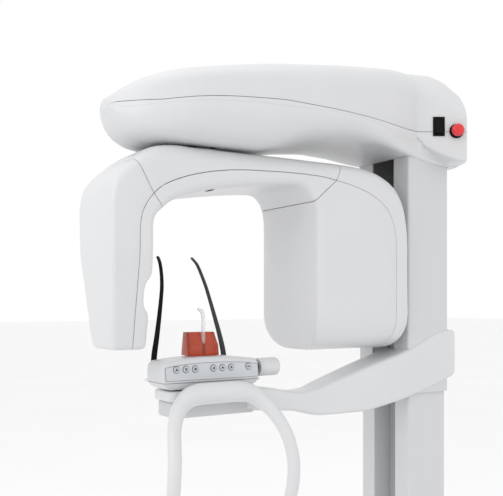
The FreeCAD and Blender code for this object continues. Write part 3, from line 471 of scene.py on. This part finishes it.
# ---- rotating C-arm ----------------------------------------------------------------------
# Stations from the sensor head's foot over the beam to the tube head's foot. Each gives the
# inner edge, the long seam and the outer edge in side view (Y, Z), the half width, the inner
# and outer corner radii and how far the outer face is crowned.
ARM_STATIONS = [
    ((-809, 1315), (-843, 1315), (-889, 1315), 63, 12, 10, 1),
    ((-809, 1345), (-843, 1345), (-893, 1345), 69, 12, 10, 1),
    ((-809, 1377), (-843, 1378), (-896, 1380), 75, 12, 10, 2),
    ((-823, 1400), (-843, 1402), (-898, 1405), 80, 8, 10, 2),
    ((-823, 1441), (-843, 1442), (-901, 1445), 88, 8, 10, 3),
    ((-809, 1466), (-843, 1467), (-903, 1470), 93, 12, 10, 3),
    ((-809, 1510), (-843, 1512), (-906, 1514), 101, 14, 10, 3),
    ((-809, 1546), (-843, 1556), (-907, 1572), 102, 14, 10, 3),
    ((-809, 1572), (-839, 1589), (-907, 1622), 102, 14, 12, 3),
    ((-803, 1592), (-829, 1613), (-895, 1668), 102, 14, 16, 3),
    ((-789, 1606), (-812, 1636), (-853, 1710), 103, 15, 24, 3),
    ((-770, 1622), (-787, 1657), (-810, 1739), 104, 16, 32, 2),
    ((-735, 1638), (-744, 1676), (-757, 1750), 106, 18, 38, 1),
    ((-690, 1652), (-696, 1690), (-705, 1750), 108, 20, 40, 0),
    ((-640, 1661), (-648, 1699), (-650, 1750), 110, 20, 40, 0),
    ((-590, 1669), (-598, 1705), (-595, 1750), 112, 20, 40, 0),
    ((-530, 1677), (-536, 1708), (-530, 1750), 114, 20, 40, 0),
    ((-472, 1683), (-470, 1710), (-462, 1750), 117, 20, 40, 0),
    ((-436, 1683), (-417, 1710), (-405, 1750), 119, 18, 40, 0),
    ((-412, 1668), (-370, 1708), (-355, 1750), 121, 15, 38, 0),
    ((-400, 1648), (-335, 1703), (-312, 1750), 122, 13, 36, 1),
    ((-394, 1622), (-280, 1694), (-243, 1748), 122, 12, 34, 3),
    ((-393, 1597), (-227, 1679), (-182, 1738), 122, 12, 32, 6),
    ((-393, 1568), (-182, 1655), (-130, 1713), 122, 12, 30, 9),
    ((-393, 1538), (-154, 1622), (-99, 1673), 122, 12, 28, 11),
    ((-393, 1505), (-141, 1580), (-84, 1622), 122, 12, 26, 13),
    ((-393, 1470), (-138, 1530), (-79, 1560), 122, 12, 24, 13),
    ((-393, 1430), (-138, 1470), (-79, 1480), 122, 12, 22, 13),
    ((-393, 1378), (-138, 1379), (-79, 1380), 122, 12, 20, 13),
]
SENSOR_SEAM_ROW, TUBE_SEAM_ROW = 10, 20
ROWS_PER_STATION = 3


def arm_section(station):
    """Half section from the inner face's middle, round the side, to the outer face's middle.

    Returns the points and the index of the seam point."""
    p, s, q = station[0:2], station[2:4], station[4:6]
    half, r_in, r_out, crown = station[6:10]
    points = []
    for k in range(4):
        points.append(((half - r_in) * k / 4, *p))
    inner_run = math.dist(p, s)
    for k in range(7):
        a = math.pi / 2 * k / 6
        y, z = lerp(p, s, min(1.0, r_in * (1 - math.cos(a)) / inner_run))
        points.append((half - r_in + r_in * math.sin(a), y, z))
    start = min(1.0, r_in / inner_run)
    for k in range(1, 7):
        points.append((half, *lerp(p, s, start + (1 - start) * k / 6)))
    seam = len(points) - 1
    outer_run = math.dist(s, q)
    r_out = min(r_out, outer_run * 0.9)
    for k in range(1, 4):
        points.append((half, *lerp(s, q, (1 - r_out / outer_run) * k / 3)))

    def crowned(x, t):
        y, z = lerp(s, q, t)
        drop = crown * (x / half) ** 2 * t
        back = lerp(s, q, t - drop / outer_run)
        return (x, *back)

    for k in range(1, 9):
        a = math.pi / 2 * k / 8
        x = half - r_out * (1 - math.cos(a))
        points.append(crowned(x, 1 - r_out * (1 - math.sin(a)) / outer_run))
    for k in range(1, 6):
        points.append(crowned((half - r_out) * (1 - k / 5), 1.0))
    return points, seam


def foot_rows(station, flat_z, rise, inwards, sideways):
    """Rows that round a head's foot over from its side walls to its flat end."""
    p, s, q = station[0:2], station[2:4], station[4:6]
    half, r_in, r_out, crown = station[6:10]
    way = 1.0 if q[0] > p[0] else -1.0
    rows = []
    for k in range(1, 8):
        a = math.pi / 2 * k / 7
        turn = 1 - math.cos(a)
        z = flat_z + rise * (1 - math.sin(a))
        radii = [max(3.0, r - 6 * turn) for r in (r_in, r_out)]
        rows.append((p[0] + way * inwards * turn, z, s[0], z, q[0] - way * inwards * turn, z,
                     half - sideways * turn, *radii, crown))
    return rows


def arm_grid():
    """All sections of the C-arm, with the rows where the cross seams run."""
    keys = [(*inner, *seam, *outer, *rest) for inner, seam, outer, *rest in ARM_STATIONS]
    stations = spline(keys, ROWS_PER_STATION)
    first = foot_rows(stations[0], 1303.0, 12.0, 12.0, 12.0)[::-1]
    last = foot_rows(stations[-1], 1287.0, 86.0, 30.0, 84.0)
    shift = len(first)
    rows = first + stations + last
    sections = [arm_section(row) for row in rows]
    left, right = (shift + row * ROWS_PER_STATION for row in (SENSOR_SEAM_ROW, TUBE_SEAM_ROW))
    return [section for section, seam in sections], sections[0][1], left, right


def nudge(a, b, distance):
    """The point a moved towards b."""
    run = math.dist(a, b)
    return lerp(a, b, min(0.5, distance / run)) if run > 1e-6 else a


def mirrored(half, seam_first):
    """Both sides of a section in one row, drawn back from the long seam by half its gap."""
    if seam_first:
        half[0] = nudge(half[0], half[1], SEAM_GAP / 2)
        return [(-x, y, z) for x, y, z in half[:-1]] + half[::-1]
    half[-1] = nudge(half[-1], half[-2], SEAM_GAP / 2)
    return [(-x, y, z) for x, y, z in half[:0:-1]] + half


def end_cap(row, count):
    """Quads that close one end row of a mirrored cover."""
    base = row * count
    return [(base + j, base + j + 1, base + count - 2 - j, base + count - 1 - j)
            for j in range(count // 2)]


def face_outwards(obj):
    """Turn all faces of an open shell if most of them look at its own middle."""
    mesh = obj.data
    mesh.update()
    middle = Vector((0, 0, 0))
    for vert in mesh.vertices:
        middle += vert.co
    middle /= len(mesh.vertices)
    vote = sum(poly.area * poly.normal.dot(poly.center - middle) for poly in mesh.polygons)
    if vote < 0:
        mesh.flip_normals()


def moulded(name, verts, faces, sharp):
    """Thin cover with slightly rounded edges from an open shell."""
    obj = new_mesh(name, verts, faces)
    tidy_normals(obj)
    face_outwards(obj)
    thicken(obj, SHELL)
    bevel(obj, 0.7, 2, 60)
    return settle(obj, sharp)


def arm_cover(name, sections, rows, cols, outer, node):
    """One moulded cover of the C-arm, from a range of rows and columns of the grid."""
    first, last = rows
    picked = [mirrored(sections[i][cols[0]:cols[1] + 1], outer) for i in range(first, last + 1)]
    open_first, open_last = first > 0, last < len(sections) - 1
    if open_first:
        picked[0] = [nudge(a, b, SEAM_GAP / 2) for a, b in zip(picked[0], picked[1])]
    if open_last:
        picked[-1] = [nudge(a, b, SEAM_GAP / 2) for a, b in zip(picked[-1], picked[-2])]
    count = len(picked[0])
    faces = grid_faces(len(picked), count)
    if not open_first:
        faces += end_cap(0, count)
    if not open_last:
        faces += end_cap(len(picked) - 1, count)
    shell = moulded(name, [v for row in picked for v in row], faces, 50)
    place(shell, "c_arm", "white_plastic", WHITE, node)


def make_c_arm():
    """Three outer and three inner covers, which meet at the long seam and two cross seams."""
    sections, seam, left, right = arm_grid()
    spans = {"sensor": (0, left), "beam": (left, right), "tube": (right, len(sections) - 1)}
    for outer, cols in ((True, (seam, len(sections[0]) - 1)), (False, (0, seam))):
        for limb, rows in spans.items():
            if limb == "beam":
                side = "upper" if outer else "lower"
            else:
                side = "outer" if outer else "inner"
            arm_cover(f"{limb}_shell_{side}", sections, rows, cols, outer, f"{limb}_{side}_cover")


# ---- overhead arm ------------------------------------------------------------------------
# Each table is (Y, value): half width, crown, underside and long seam of the overhead arm, the
# size of its upper and lower roundings, and the flare's rounded back and lower rim.
HEAD_HALF = [(-885, 18), (-881, 32), (-870, 50), (-855, 66), (-833, 89), (-806, 112), (-772, 134),
             (-735, 152), (-690, 163), (-640, 170), (-540, 176), (-400, 174), (-280, 162),
             (-200, 145), (-140, 128), (-90, 115), (-62, 110), (-50, 108)]
HEAD_TOP = [(-885, 1846), (-878, 1852), (-865, 1862), (-846, 1876), (-820, 1892), (-790, 1904),
            (-740, 1917), (-679, 1929), (-524, 1959), (-400, 1979), (-223, 2007), (-86, 2027),
            (0, 2028), (40, 2021), (60, 2004), (85, 1974), (104, 1928)]
HEAD_UNDER = [(-885, 1824), (-866, 1788), (-838, 1765), (-800, 1755), (-560, 1756), (-500, 1765),
              (-450, 1780), (-400, 1791), (-340, 1799), (-250, 1808), (-200, 1809), (-125, 1801),
              (-69, 1794), (0, 1783), (70, 1779), (104, 1778)]
HEAD_SEAM = [(-800, 1833), (-676, 1848), (-517, 1860)]
TOP_ACROSS = [(-885, 14), (-800, 60), (-400, 70), (-60, 52), (0, 70), (30, 95), (60, 120),
              (104, 80)]
TOP_DOWN = [(-885, 8), (-800, 30), (-400, 60), (-60, 60), (0, 80), (30, 100), (60, 112), (104, 45)]
TURN_ACROSS = [(-885, 14), (-800, 75), (-600, 86), (-480, 105), (-400, 118), (-300, 100),
               (-200, 40), (-90, 14), (104, 10)]
TURN_DOWN = [(-885, 12), (-800, 62), (-600, 80), (-450, 62), (-300, 46), (-200, 26), (-90, 12),
             (104, 9)]
FLARE_BACK = [(60, 177), (67, 174), (75, 166), (84, 150), (93, 128), (99, 109), (103, 92)]
FLARE_UNDER = [(-50, 1850), (-45, 1836), (-26, 1820), (1, 1804), (35, 1788), (51, 1783),
               (104, 1781)]
FLARE_START, FLARE_END = (108.0, -50.0), (177.0, 60.0)      # ends of the angled face, in plan
HEAD_CROWN = 7.0                # how far the top falls off from the middle to the side
ROCKER_ALONG, ROCKER_Z = 57.0, 1874.0       # along the angled face, and height
STOP_ALONG, STOP_Z = 104.0, 1862.0
CUT_IN, CUT_OUT = 20.0, 5.0     # how far a cutter reaches behind and before the angled face


def head_half(y):
    """Half width of the overhead arm: long body, angled face, then rounded back."""
    (start_half, start_y), (end_half, end_y) = FLARE_START, FLARE_END
    if y <= start_y:
        return table(HEAD_HALF, y)
    if y <= end_y:
        return start_half + (y - start_y) * (end_half - start_half) / (end_y - start_y)
    return table(FLARE_BACK, y)


def head_section(y):
    """Half section of the overhead arm from its crown round to its underside.

    Returns the points and the index of the seam point."""
    half, top, under = head_half(y), table(HEAD_TOP, y), table(HEAD_UNDER, y)
    flared = y > FLARE_START[1]
    main = min(half, FLARE_START[0]) if flared else half
    seam_height = table(HEAD_SEAM, y)
    room = top - seam_height
    across = min(half * 0.75, table(TOP_ACROSS, y))
    down = room * 0.8 if room < 12 else min(room * 0.7, table(TOP_DOWN, y))
    points = []

    def crowned(x, z):
        return (x, y, z - HEAD_CROWN * (x / half) ** 2)

    for k in range(5):
        points.append(crowned((half - across) * k / 5, top))
    for k in range(11):
        a = math.pi / 2 * k / 10
        x = half - across + across * math.sin(a)
        points.append(crowned(x, top - down * (1 - math.cos(a))))
    side_top = points[-1][2]
    seam_z = min(seam_height, side_top - 2.0)
    for k in range(1, 5):
        points.append((half, y, side_top + (seam_z - side_top) * k / 4))
    seam = len(points) - 1

    turn_across = min(table(TURN_ACROSS, y), main * 0.7)
    turn_down = min(table(TURN_DOWN, y), (seam_z - under) * 0.8)
    low = under + turn_down
    flare_z = table(FLARE_UNDER, y) if flared else low + (seam_z - low) * 0.5
    soft = 7.0 if flared and half - main > 10 else 0.5
    for k in range(1, 4):
        points.append((half, y, seam_z + (flare_z + soft - seam_z) * k / 3))
    for k in range(1, 5):
        a = math.pi / 2 * k / 4
        points.append((half - soft * (1 - math.cos(a)), y, flare_z + soft * (1 - math.sin(a))))
    if flared:
        inner = main + 2.0 if half > main + 10 else half - soft
        points.append(((points[-1][0] + inner) / 2, y, flare_z + 0.5))
        points.append((inner, y, flare_z + 1.0))
    else:
        points.append((half, y, flare_z - 1.0))
        points.append((half, y, flare_z - 2.0))
    before = points[-1][2]
    for k in range(1, 4):
        points.append((main, y, before + (min(low, before - 0.6) - before) * k / 3))
    base_z = points[-1][2]
    for k in range(1, 9):
        a = math.pi / 2 * k / 8
        points.append((main - turn_across * (1 - math.cos(a)), y,
                       base_z + (under - base_z) * math.sin(a)))
    flat = main - turn_across
    if flat > SLEEVE_X:
        points.append((max(flat * 0.98, min(flat, SLEEVE_X + 0.9)), y, under))
    else:
        points.append((flat * 0.86, y, under))
    points += [(flat * share, y, under) for share in (0.58, 0.30, 0.0)]
    return points, seam


def head_rows():
    """Stations along the overhead arm, closer together where it turns or is cut open."""
    nose = [-885, -883, -880, -876, -871, -865, -858, -850, -840, -828, -814, -798, -780, -760,
            -735, -705]
    taper = [-330, -312, -294, -276, -258, -240, -222, -200, -180, -160, -140, -122, -108, -95, -84]
    flare = [-75.4, -68, -60, -54, -50.5, -49.5, -44, -38, -30, -20, -8, 4, 16, 28, 40, 50, 56,
             60, 66, 71, 75.4, 80, 85, 90, 95, 98, 101, 103]
    return nose + list(range(-670, -330, 30)) + taper + flare


def head_cover(name, sections, cols, upper, node):
    """Upper or lower moulded cover of the overhead arm, open underneath where it has to be."""
    picked = [mirrored(section[cols[0]:cols[1] + 1], not upper) for section in sections]
    count = len(picked[0])
    verts = [v for row in picked for v in row]
    faces = []
    for face in grid_faces(len(picked), count):
        middle = [sum(verts[i][k] for i in face) / 4 for k in range(3)]
        if upper or not in_opening(*middle):
            faces.append(face)
    faces += end_cap(0, count) + end_cap(len(picked) - 1, count)
    shell = moulded(name, verts, faces, 42)
    cut_with(shell, switch_cutters())
    place(shell, "lift", "white_plastic", WHITE, node)


def switch_cutters():
    """Rocker slot and stem hole, square to the angled face that both sit on."""
    start, end = Vector((*FLARE_START, 0.0)), Vector((*FLARE_END, 0.0))
    along = (end - start).normalized()
    out = Vector((along.y, -along.x, 0.0))
    up = Vector((0.0, 0.0, 1.0))
    rocker = start + along * ROCKER_ALONG + up * ROCKER_Z
    corners = ((-13, -23), (13, -23), (13, 23), (-13, 23))
    inner, outer = ([tuple(rocker + out * depth + along * s + up * z) for s, z in corners]
                    for depth in (-CUT_IN, CUT_OUT))
    button = start + along * STOP_ALONG + up * STOP_Z
    return [prism("rocker_slot", inner, outer),
            drill(12.0, tuple(button - out * CUT_IN), tuple(button + out * CUT_OUT))]


def in_opening(x, y, z):
    """Where the underside is open: round the sleeve, and over the C-arm's hub."""
    if z > 1800:
        return False
    if abs(x) < SLEEVE_X + 0.6 and abs(y) < SLEEVE_Y + 1.2:
        return True
    travel = min(max(y, AXIS_Y - 40.0), AXIS_Y)
    return math.hypot(x, y - travel) < 62


def make_overhead():
    sections = [head_section(y) for y in head_rows()]
    seam = sections[0][1]
    end = len(sections[0][0]) - 1
    grids = [points for points, index in sections]
    head_cover("overhead_shell_upper", grids, (0, seam), True, "overhead_upper_cover")
    head_cover("overhead_shell_lower", grids, (seam, end), False, "overhead_lower_cover")


# ---- chin arm ----------------------------------------------------------------------------
# Each table is (Y, value): the arm's lower and upper edge, and its near and far side.
ARM_LOW = [(-560, 1152), (-426, 1141), (-344, 1125), (-230, 1127), (-125, 1144), (-70, 1156),
           (24, 1182), (104, 1207)]
ARM_HIGH = [(-560, 1206), (-480, 1200), (-442, 1192), (-401, 1187), (-363, 1191), (-332, 1202),
            (-283, 1218), (-190, 1247), (-124, 1266), (-71, 1283), (66, 1331), (104, 1332)]
ARM_NEAR = [(-560, 64), (-520, 66), (-400, 72), (-290, 86), (-190, 98), (-74, 105), (104, 105)]
ARM_FAR = [(-560, 8), (-420, 5), (-270, 3), (-74, 0), (104, 0)]
ARM_BACK, ARM_BACK_ROUND = 90, 14.0
ARM_RADII = (11, 8, 8, 11)      # upper near, upper far, lower far, lower near


def make_chin_arm():
    """Cast arm that widens towards the sleeve, with room for the sleeve in its back end."""
    rows = [(y, 0.0) for y in range(-556, -80, 14)]
    rows += [(y, 0.0) for y in (-76, -60, -40, -20, 0, 20, 40, 60, 80, ARM_BACK)]
    for k in range(1, 7):
        a = math.pi / 2 * k / 6
        rows.append((ARM_BACK + ARM_BACK_ROUND * math.sin(a), ARM_BACK_ROUND * (1 - math.cos(a))))
    verts = []
    for y, inset in rows:
        low, high = table(ARM_LOW, y) + inset, table(ARM_HIGH, y) - inset
        near, far = table(ARM_NEAR, y) - inset, table(ARM_FAR, y)
        ring = rounded_ring(far, near, low, high, ARM_RADII)
        verts.extend((x, y, z) for x, z in ring)
    arm = solid("chin_arm_casting", verts, 4 * (ARC_STEPS + 1))
    corners = [(x, y, z) for x in (-SLEEVE_X - 2, SLEEVE_X + 0.15)
               for y in (-SLEEVE_Y - 0.15, SLEEVE_Y + 0.15) for z in (1100, 1400)]
    cut_with(arm, [box_mesh("room", corners)])
    place(arm, "lift", "white_metal", WHITE_PAINT, "chin_arm")


def make_arm_end():
    """Tray and housing at the arm's free end, and the spacer that the panel stands on."""
    tray = rounded_slab("arm_end_tray", -27, 66, -756, -530, 1184, 1208, 16, 5)
    place(settle(tray), "lift", "white_metal", WHITE_PAINT)
    lower = rounded_slab("arm_end_housing", -24, 63, -747, -531, 1147, 1183, 14, 6)
    # The housing's light grey is painted shade under the tray; the part itself is white plastic.
    place(settle(lower), "lift", "white_plastic", UNDER_TRAY_SHADE_GREY, "arm_end_cover")
    pad = rounded_slab("panel_spacer", -4, 56, -738, -562, 1208.1, 1211, 28, 0.5)
    place(settle(pad), "lift", "dark_grey_plastic", DARK, "panel_pad")


# ---- panel and patient supports ----------------------------------------------------------
PANEL_X0, PANEL_X1, PANEL_Y0, PANEL_Y1 = -20.0, 73.0, -775.0, -526.0
PANEL_LIP, PANEL_TOP = 1228.0, 1282.0
FRONT_LEAN = 3.0                # the front steps back this much from its foot to its brow
BROW, HEEL, HOOD_ROUND = 12.0, 16.0, 9.0    # roundings of the hood's front, back and ends
BOWL_TOP, BOWL_DEPTH = 1227.0, 15.5
KEY_COUNT, KEY_PLAY = 7, 0.4    # play is the gap round a key in the film and the hood
KEY_HOLE = (55.0, 82.0)         # where a key's hole starts and ends, along X


def panel_top(y):
    """Height of the hood's gently bowed top."""
    half = (PANEL_Y1 - PANEL_Y0) / 2
    s = abs(y - (PANEL_Y0 + half)) / half
    return PANEL_TOP - 9.0 * s ** 2.4


def hood_section(top, front, back):
    """Outline (X, Z) of the hood from its lower back edge round the front to the back again."""
    brow_x, heel_x = front - FRONT_LEAN - BROW, back + HEEL
    quarter = [math.pi / 2 * k / ARC_STEPS for k in range(ARC_STEPS + 1)]
    section = [(back, PANEL_LIP), (front, PANEL_LIP), (front - 0.6, PANEL_LIP + 8),
               (front - 1.6, PANEL_LIP + 18)]
    section += [(brow_x + BROW * math.cos(a), top - BROW * (1 - math.sin(a))) for a in quarter]
    section += [(brow_x + (heel_x - brow_x) * k / 4, top) for k in range(1, 4)]
    section += [(heel_x - HEEL * math.sin(a), top - HEEL * (1 - math.cos(a))) for a in quarter]
    return section + [(back, PANEL_LIP + 12)]


def make_panel():
    """Hood over the keypad and the clamp shaft, with rounded ends."""
    rounded = []
    for k in range(7):
        a = math.pi / 2 * k / 6
        rounded.append((PANEL_Y0 + HOOD_ROUND * (1 - math.sin(a)), HOOD_ROUND * (1 - math.cos(a))))
    rows = rounded[::-1]
    rows += [(PANEL_Y0 + (PANEL_Y1 - PANEL_Y0) * k / 20, 0.0) for k in range(1, 20)]
    rows += [(PANEL_Y1 - (y - PANEL_Y0), inset) for y, inset in rounded]
    verts = []
    for y, inset in rows:
        section = hood_section(panel_top(y) - inset, PANEL_X1 - inset, PANEL_X0 + inset)
        verts.extend((x, y, z) for x, z in section)
    hood = solid("panel_hood", verts, len(section))
    bevel(hood, 0.8, 2, 60)
    settle(hood, 45)
    x, _, z = centre("clamp_shaft")
    shaft_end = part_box("clamp_shaft")[0][1] / MM - 2
    shaft_room = drill(SHAFT_ROOM, (x, shaft_end, z), (x, PANEL_Y1 + 5, z))
    cut_with(hood, key_drills() + [shaft_room])
    place(hood, "lift", "white_plastic", PANEL_WHITE, "panel_housing")


def front_x(z):
    """Where the panel's front face is at a height."""
    return table([(PANEL_LIP, PANEL_X1), (PANEL_LIP + 18, PANEL_X1 - 1.6),
                  (PANEL_TOP - BROW, PANEL_X1 - FRONT_LEAN)], z)


def front_plate(name, outline, lift, thickness, mat):
    """Thin plate on the panel's front: outline is (Y, Z), lift is its height off the face."""
    outer, inner = ([(front_x(z) + x, y, z) for y, z in outline]
                    for x in (lift, lift - thickness))
    return place(settle(prism(name, outer, inner)), "lift", "key_film", mat)


def key_drill(index):
    """Cutter for one key, from behind its cap to in front of the film."""
    low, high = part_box(f"key_{index}")
    _, y, z = centre(f"key_{index}")
    start, end = KEY_HOLE
    return drill((high[2] - low[2]) / 2 / MM + KEY_PLAY, (start, y, z), (end, y, z))


def key_drills():
    return [key_drill(index) for index in range(1, KEY_COUNT + 1)]


def film_outline(inset):
    """Arched keypad film: straight foot, rounded lower corners and a gently bowed top."""
    y0, y1, foot, r = PANEL_Y0 + 4 + inset, PANEL_Y1 - 5 - inset, PANEL_LIP + 4 + inset, 5.0

    def corner(middle, start):
        angles = [math.radians(start + 90 * k / ARC_STEPS) for k in range(ARC_STEPS + 1)]
        return [(middle + r * math.cos(a), foot + r + r * math.sin(a)) for a in angles]

    crest = [y1 + (y0 - y1) * k / 16 for k in range(17)]
    bow = [(y, panel_top(y) - 11.5 - inset) for y in crest]
    return corner(y1 - r, 270) + bow + corner(y0 + r, 180)


def disc_outline(y, z, radius, steps=28):
    angles = [2 * math.pi * k / steps for k in range(steps)]
    return [(y + radius * math.cos(a), z + radius * math.sin(a)) for a in angles]


def icon_outline(kind, y, z):
    """Plain pictogram: triangles, a bar, a diamond or a dot."""
    shapes = {
        "up": [(-3.6, -2.4), (3.6, -2.4), (0, 3.8)],
        "down": [(0, -3.8), (3.6, 2.4), (-3.6, 2.4)],
        "bar": [(-4.2, -1.1), (4.2, -1.1), (4.2, 1.1), (-4.2, 1.1)],
        "diamond": [(0, -4.0), (3.2, 0), (0, 4.0), (-3.2, 0)],
        "dot": disc_outline(0, 0, 2.6, 12),
        "left": [(-3.8, 0), (2.4, -3.4), (2.4, 3.4)],
        "right": [(3.8, 0), (-2.4, 3.4), (-2.4, -3.4)],
    }
    return [(y + a, z + b) for a, b in shapes[kind]]


def make_keypad():
    """Printed film over the panel's front, with a dark ring and a plain icon for every key."""
    cut_with(front_plate("keypad_border", film_outline(0), 0.35, 0.5, EDGE_GREY), key_drills())
    cut_with(front_plate("keypad_film", film_outline(1.2), 0.7, 0.5, FILM), key_drills())
    kinds = ("up", "down", "diamond", "left", "dot", "right", "bar")
    for index, kind in enumerate(kinds, start=1):
        _, y, z = centre(f"key_{index}")
        ring = front_plate(f"key_ring_{index}", disc_outline(y, z, 8.3), 1.0, 0.6, INK)
        cut_with(ring, [key_drill(index)])
        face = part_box(f"key_{index}")[1][0] / MM + 0.25
        outer, inner = ([(x, a, b) for a, b in icon_outline(kind, y, z)]
                        for x in (face, face - 0.5))
        mark = prism(f"key_icon_{index}", outer, inner)
        place(settle(mark), f"key_{index}", "key_film", INK)


def make_bowl():
    """Shallow tray under the hood: its walls curve in to a flat bottom."""
    verts = []
    for k in range(9):
        a = math.pi / 2 * k / 8
        z, inset = BOWL_TOP - BOWL_DEPTH * math.sin(a), 2.0 + 24.0 * (1 - math.cos(a))
        ring = rounded_ring(PANEL_X0 + 0.5 + inset * 0.55, PANEL_X1 - 0.5 - inset * 0.55,
                            PANEL_Y0 + inset, PANEL_Y1 - inset, [10.0] * 4)
        verts.extend((x, y, z) for x, y in ring)
    bowl = solid("panel_bowl", verts, 4 * (ARC_STEPS + 1))
    bevel(bowl, 0.6, 2, 50)
    place(settle(bowl, 50), "lift", "white_plastic", PANEL_WHITE)


def make_knob():
    """Turned grip with a shallow groove at each end, and the collar it turns against, painted dark
    as painted shade in the gap at the knob's root.
    """
    low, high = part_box("knob")
    x, _, z = centre("knob")
    start, r = -508.0, (high[0] - low[0]) / 2 / MM
    length = high[1] / MM - 4.0 - start
    profile = [(r - 4, 0), (r - 1.6, 0.4), (r - 0.4, 1.6), (r, 3.4), (r, 7), (r - 0.7, 7.4),
               (r - 0.7, 8.4), (r, 8.8), (r, length - 9), (r - 0.4, length - 6),
               (r - 1.6, length - 3.2), (r - 3.8, length - 1.2), (r - 7, length - 0.2),
               (r - 9, length), (3, length - 0.5)]
    knob = lathe("knob_grip", profile, (x, start, z), (0, 1, 0), 64)
    place(settle(knob, 40), "knob", "white_plastic", WHITE, "knob")
    profile = [(r - 2.5, 0), (r - 1.4, 0.6), (r - 1.4, 9), (r - 5, 9.6), (r - 8, 15), (r - 9, 17)]
    collar = lathe("knob_collar", profile, (x, PANEL_Y1 - 1.0, z), (0, 1, 0), 64)
    settle(collar, 40)
    cut_with(collar, [drill(SHAFT_ROOM, (x, PANEL_Y1 - 5, z), (x, -500, z))])
    # The collar's dark charcoal is painted shade for the shadow gap between the knob and the panel.
    place(collar, "lift", "dark_grey_plastic", CHARCOAL_LIGHT_AND_SHADE)


# X, distance inwards, Z and radius along a temple arm, from its pivot to its tip.
TEMPLE_SHAPE = [(-42, 0, 1256, 7.2), (-42.5, 2, 1284, 7.2), (-46, 10, 1325, 6.4),
                (-54, 20, 1372, 5.6), (-63, 29, 1415, 5.0), (-71, 35, 1445, 4.8),
                (-84, 40, 1474, 4.6), (-100, 44, 1500, 4.5), (-119, 47.5, 1516, 4.4)]


def make_temple_arms():
    # The right arm's lighter charcoal, against the left arm's black, is painted light on the same
    # black plastic.
    for name, side, offset, mat in (("left", -1, -96.0, BLACK), ("right", 1, 93.0, CHARCOAL_LIGHT_AND_SHADE)):
        y0 = AXIS_Y + offset
        curve = spline([(x, y0 - side * inward, z, r) for x, inward, z, r in TEMPLE_SHAPE], 6)
        arm = tube(f"temple_blade_{name}", [p[:3] for p in curve], [p[3] for p in curve],
                   (0, 1, 0), flat=0.55)
        place(settle(arm), f"temple_{name}", "black_plastic", mat, f"temple_arm_{name}")


BITE_X, BITE_R, BORE_R = 22, 4.4, 4.9


def make_chin_rest():
    """Translucent block with sloping sides, and the bite tube standing in its bore."""
    foot, top = 1282.6, 1337.0
    profile = [(-16, foot), (29, foot), (29, 1306), (12, top), (-14, top)]
    left, right = ([(x, AXIS_Y + sign * (38.5 - 4.0 * (z - foot) / (top - foot)), z)
                    for x, z in profile] for sign in (-1, 1))
    rest = prism("chin_rest_block", left, right)
    bevel(rest, 1.6, 3, 20)
    settle(rest, 25)
    cut_with(rest, [drill(BORE_R, (BITE_X, AXIS_Y, 1286), (BITE_X, AXIS_Y, 1350))])
    place(rest, "lift", "orange_acrylic", ORANGE, "chin_block")
    route = spline([(BITE_X, AXIS_Y, 1293), (BITE_X, AXIS_Y, 1330), (BITE_X, AXIS_Y, 1362),
                    (20, AXIS_Y, 1376), (12, AXIS_Y, 1385), (2, AXIS_Y, 1389)], 6)
    bite = tube("bite_rod", route, [BITE_R] * len(route), (0, 1, 0))
    place(settle(bite), "bite_tube", "clear_plastic", CLEAR, "bite_tube")


# X, distance from the middle, Z and radius along one half of the handle.
HANDLE_SHAPE = [(97, 0, 1204, 24), (97, 30, 1204, 24), (98, 58, 1202.5, 23.5),
                (102, 82, 1196, 21.5), (110, 103, 1181, 18.5), (124, 121, 1160, 16),
                (140, 133, 1136, 14.8), (156, 141, 1110, 14.5), (168, 146, 1078, 14.5),
                (173, 150, 1040, 14.5), (169, 151, 998, 14.5), (157, 152, 962, 14.5)]


def make_handle():
    """Bent tube: a thick bridge under the panel, and two legs that sweep down and out."""
    right = [(x, AXIS_Y + d, z, r) for x, d, z, r in HANDLE_SHAPE]
    left = [(x, AXIS_Y - d, z, r) for x, d, z, r in HANDLE_SHAPE[:0:-1]]
    curve = spline(left + right, 5)
    handle = tube("grip_handle", [p[:3] for p in curve], [p[3] for p in curve], (1, 0, 0),
                  steps=36)
    place(settle(handle), "lift", "white_metal", WHITE_PAINT, "handle")
    bracket = rounded_slab("handle_bracket", 50, 92, -694, -606, 1187, 1203, 5, 2)
    place(settle(bracket), "lift", "white_metal", WHITE_PAINT)


def make_laser_slot():
    """Small dark light slot in the underside of the beam."""
    near, far, low, slope, depth = -672.0, -660.0, 1654.4, 0.18, 3
    corners = [(x, y, low + (y - near) * slope + dz)
               for x in (70, 92) for y in (near, far) for dz in (0, depth)]
    slot = box_mesh("positioning_light", corners)
    bevel(slot, 1.0, 2, 60)
    place(settle(slot), "c_arm", "black_plastic", BLACK)


# ---- finishes of the CAD pieces ----------------------------------------------------------
FINISHES = {
    "white_plastic": WHITE, "white_metal": WHITE_PAINT, "column_aluminium": COLUMN,
    "grey_metal": STAND, "machined_steel": STEEL, "inner_aluminium": ALLOY,
    "bronze_bearing": BRONZE, "black_plastic": BLACK, "dark_grey_plastic": DARK,
    "belt_rubber": RUBBER, "red_plastic": RED, "orange_acrylic": ORANGE,
    "clear_plastic": CLEAR, "tube_glass": GLASS, "key_film": KEY_GREY, "green_board": BOARD,
}


def finish_nodes():
    """Paint every CAD piece by its slot in the record."""
    for part in frame["record"]["subparts"]:
        paint(NODES[part["node"]], FINISHES[part["material_slot"]])
    paint(NODES["recess_cover"], RECESS)


make_camera()
make_stage()
finish_nodes()
make_c_arm()
make_overhead()
make_chin_arm()
make_arm_end()
make_panel()
make_keypad()
make_bowl()
make_knob()
make_temple_arms()
make_chin_rest()
make_handle()
make_laser_slot()
